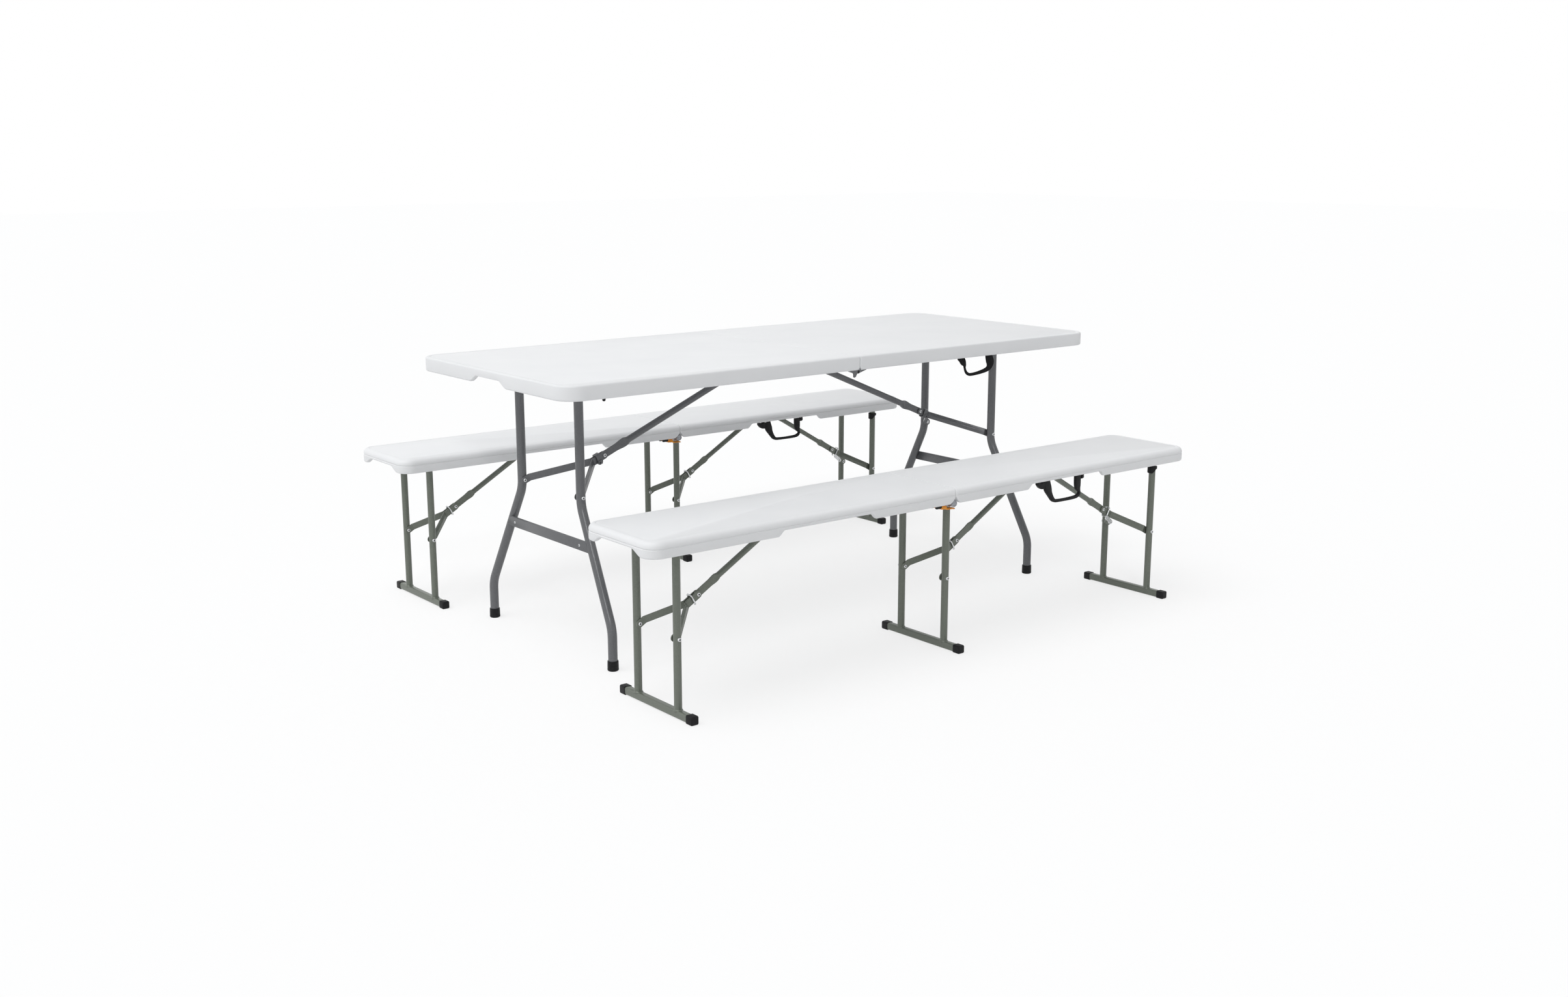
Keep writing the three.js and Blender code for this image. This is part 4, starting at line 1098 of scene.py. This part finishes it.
def hinge_bracket():
    """Two leaves on the front end of the table's hinge, the left one with a hanging tab, and a peg under the skirt."""
    hinge = joint_at("table_fold")
    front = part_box("table_hinge_rod")[0].y
    leaves = {
        "left": (0.0, [
            (-0.0004, -0.0006), (-0.0004, -0.0074), (-0.0026, -0.0092), (-0.0085, -0.0092),
            (-0.0105, -0.0115), (-0.0135, -0.0170), (-0.0165, -0.0190), (-0.0200, -0.0190), (-0.0222, -0.0172),
            (-0.0225, -0.0090), (-0.0250, -0.0062), (-0.0410, -0.0010), (-0.0410, -0.0006),
        ]),
        "right": (0.0024, [
            (0.0260, -0.0006), (0.0260, -0.0012), (0.0160, -0.0040), (0.0060, -0.0070), (0.0004, -0.0078),
            (0.0004, -0.0006),
        ]),
    }
    for name, (behind, outline) in leaves.items():
        leaf = Shape()
        leaf.loft([
            [hinge + X * x * scale + Z * z * scale + Y * (front + behind + depth) for x, z in outline]
            for depth, scale in ((-0.0022, 0.985), (-0.0018, 1.0), (-0.0004, 1.0), (0.0, 0.985))
        ])
        add_piece(f"table_hinge_leaf_{name}", leaf, "dark_steel", f"table_{name}")
    head = Shape()
    lathe(head, Vector((hinge.x - 0.0041, front - 0.0022, hinge.z - 0.0046)), -Y, [
        (0.0036, -0.0004), (0.0036, 0.0006), (0.0030, 0.0012), (0.0010, 0.0014),
    ], 20)
    add_piece("table_hinge_pin_head", head, "black_plastic", "table_left")
    peg = Shape()
    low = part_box("table_top_left")[0]
    lathe(peg, Vector((PEG_X, low.y + TABLE.wall / 2, hinge.z)), -Z, [
        (0.0042, -0.002), (0.0042, 0.002), (0.0034, 0.0048), (0.0016, 0.0058),
    ], 16)
    add_piece("table_skirt_peg", peg, "black_plastic", "table_left")


# Assembly

def half_at(family, prefix, half, side, y, lugs=()):
    node = f"{prefix}_{half}"
    low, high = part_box(node)
    end = high.x if side > 0 else -low.x
    hinge = "table_fold" if prefix == "table" else f"{prefix}_fold"
    return SimpleNamespace(
        family=family, half=half, side=side, y=y, length=end - SEAM_GAP / 2, half_width=(high.y - low.y) / 2,
        top=high.z, depth=high.z - joint_at(hinge).z, lugs=lugs,
    )


def dress_table():
    legs = {name: LegSet("table", name, TABLE) for name in ("left", "right")}
    handle_keep = [(0.456, joint_at("table_handle_swing").y, 0.090, 0.014)]
    for name, side, lugs in (("left", -1, []), ("right", 1, handle_keep)):
        at = half_at(TABLE, "table", f"top_{name}", side, 0.0, lugs)
        moulded_half("table", at, f"table_{name}", [legs[name]])
    hinge_rod("table_hinge_rod", "table_left", 0.0)
    hinge_bracket()
    table_handle()
    for leg in legs.values():
        table_leg(leg)
        fork(leg, "dark_steel")
        brace(leg, "dark_steel", f"table_{leg.name}")
        table_collar(leg)


def dress_bench(prefix):
    legs = {name: LegSet(prefix, name, BENCH) for name in ("left", "middle", "right")}
    y = legs["left"].pivot.y
    carried = {"left": ["left"], "right": ["middle", "right"]}
    handle_at, latch_at = joint_at(f"{prefix}_handle_swing"), joint_at(f"{prefix}_latch_turn")
    keeps = {"left": [(latch_at.x, latch_at.y, 0.01, 0.02)], "right": [(handle_at.x, handle_at.y, 0.090, 0.014)]}
    for name, side in (("left", -1), ("right", 1)):
        at = half_at(BENCH, prefix, f"seat_{name}", side, y, keeps[name])
        moulded_half(prefix, at, f"{prefix}_{name}", [legs[leg] for leg in carried[name]])
    hinge_rod(f"{prefix}_hinge_rod", f"{prefix}_left", BENCH_ROD_REACH)
    bench_handle(prefix)
    bench_latch(prefix)
    for name, leg in legs.items():
        bench_leg(leg)
        fork(leg, "grey_steel")
        brace(leg, "grey_steel", f"{prefix}_left" if name == "left" else f"{prefix}_right")
        bench_ring(leg)
    leg_clip(legs["right"])


dress_table()
for bench in ("near_bench", "far_bench"):
    dress_bench(bench)


# Stage

SKY_BACK_LEFT = 0.84
SKY_FRONT_RIGHT = 0.34
SKY_AXIS = (0.6, -0.8, 0.0)
FLOOR_TONE = 0.80
FLOOR_SEEN_TONE = 0.985
FLOOR_WHITE = 0.72


def camera_mix(tree, plain, seen):
    """The camera and reflections see one shader, and light that falls on the object comes from the plain one."""
    path = tree.nodes.new("ShaderNodeLightPath")
    share = path.outputs["Is Camera Ray"]
    for kind in ("Is Glossy Ray", "Is Transmission Ray"):
        either = tree.nodes.new("ShaderNodeMath")
        either.operation = "MAXIMUM"
        tree.links.new(share, either.inputs[0])
        tree.links.new(path.outputs[kind], either.inputs[1])
        share = either.outputs[0]
    return mix_shaders(tree, share, plain, seen)


def mix_shaders(tree, share, first, second):
    mix = tree.nodes.new("ShaderNodeMixShader")
    if isinstance(share, float):
        mix.inputs["Fac"].default_value = share
    else:
        tree.links.new(share, mix.inputs["Fac"])
    tree.links.new(first, mix.inputs[1])
    tree.links.new(second, mix.inputs[2])
    return mix.outputs[0]


def make_floor():
    """A white floor to the camera, which still keeps part of the object's shadow."""
    shape = Shape()
    half = 30.0
    shape.verts = [Vector((x * half, y * half, 0)) for x, y in ((-1, -1), (1, -1), (1, 1), (-1, 1))]
    shape.faces = [(0, 1, 2, 3)]
    floor = build_mesh("floor", shape)
    look, tree, shader = new_look("floor", (FLOOR_TONE,) * 3, 0.9)
    shader.inputs["Specular IOR Level"].default_value = 0.0
    matt = tree.nodes.new("ShaderNodeBsdfDiffuse")
    matt.inputs["Color"].default_value = (FLOOR_SEEN_TONE,) * 3 + (1,)
    white = tree.nodes.new("ShaderNodeEmission")
    seen = mix_shaders(tree, FLOOR_WHITE, matt.outputs[0], white.outputs[0])
    surface = camera_mix(tree, shader.outputs[0], seen)
    tree.links.new(surface, tree.nodes["Material Output"].inputs["Surface"])
    floor.data.materials.append(look)


def make_world():
    """White to the camera, and a studio that is brighter at the back left than at the front right."""
    world = bpy.data.worlds.new("studio")
    world.use_nodes = True
    tree = world.node_tree
    sky = tree.nodes["Background"]
    sky.inputs["Color"].default_value = (0.97, 0.985, 1.0, 1)
    place = tree.nodes.new("ShaderNodeTexCoord")
    toward = tree.nodes.new("ShaderNodeVectorMath")
    toward.operation = "DOT_PRODUCT"
    toward.inputs[1].default_value = SKY_AXIS
    level = tree.nodes.new("ShaderNodeMapRange")
    level.inputs["From Min"].default_value = -1.0
    level.inputs["From Max"].default_value = 1.0
    level.inputs["To Min"].default_value = SKY_BACK_LEFT
    level.inputs["To Max"].default_value = SKY_FRONT_RIGHT
    tree.links.new(place.outputs["Generated"], toward.inputs[0])
    tree.links.new(toward.outputs["Value"], level.inputs["Value"])
    tree.links.new(level.outputs["Result"], sky.inputs["Strength"])
    white = tree.nodes.new("ShaderNodeBackground")
    white.inputs["Color"].default_value = (1, 1, 1, 1)
    surface = camera_mix(tree, sky.outputs[0], white.outputs[0])
    tree.links.new(surface, tree.nodes["World Output"].inputs["Surface"])
    bpy.context.scene.world = world


def make_lamp(name, toward, level, spread_deg):
    """A broad distant lamp that lights a facing white surface to the level."""
    lamp = bpy.data.lights.new(name, "SUN")
    lamp.energy = level * math.pi
    lamp.angle = math.radians(spread_deg)
    obj = bpy.data.objects.new(name, lamp)
    obj.rotation_euler = Vector(toward).to_track_quat("Z", "Y").to_euler()
    bpy.context.scene.collection.objects.link(obj)


def make_camera():
    camera = bpy.data.cameras.new("camera")
    camera.lens = CAMERA_LENS
    camera.sensor_width = CAMERA_SENSOR
    camera.clip_end = 200
    obj = bpy.data.objects.new("camera", camera)
    obj.location = CAMERA_AT
    obj.rotation_euler = (math.pi / 2 + CAMERA_PITCH, 0, CAMERA_YAW)
    bpy.context.scene.collection.objects.link(obj)
    bpy.context.scene.camera = obj


make_floor()
make_world()
make_lamp("key", (-0.42, 0.02, 0.90), 0.38, 45)
make_lamp("glint", (-0.50, -0.645, 0.578), 0.10, 8)
make_camera()
bpy.context.scene.view_settings.view_transform = "Standard"
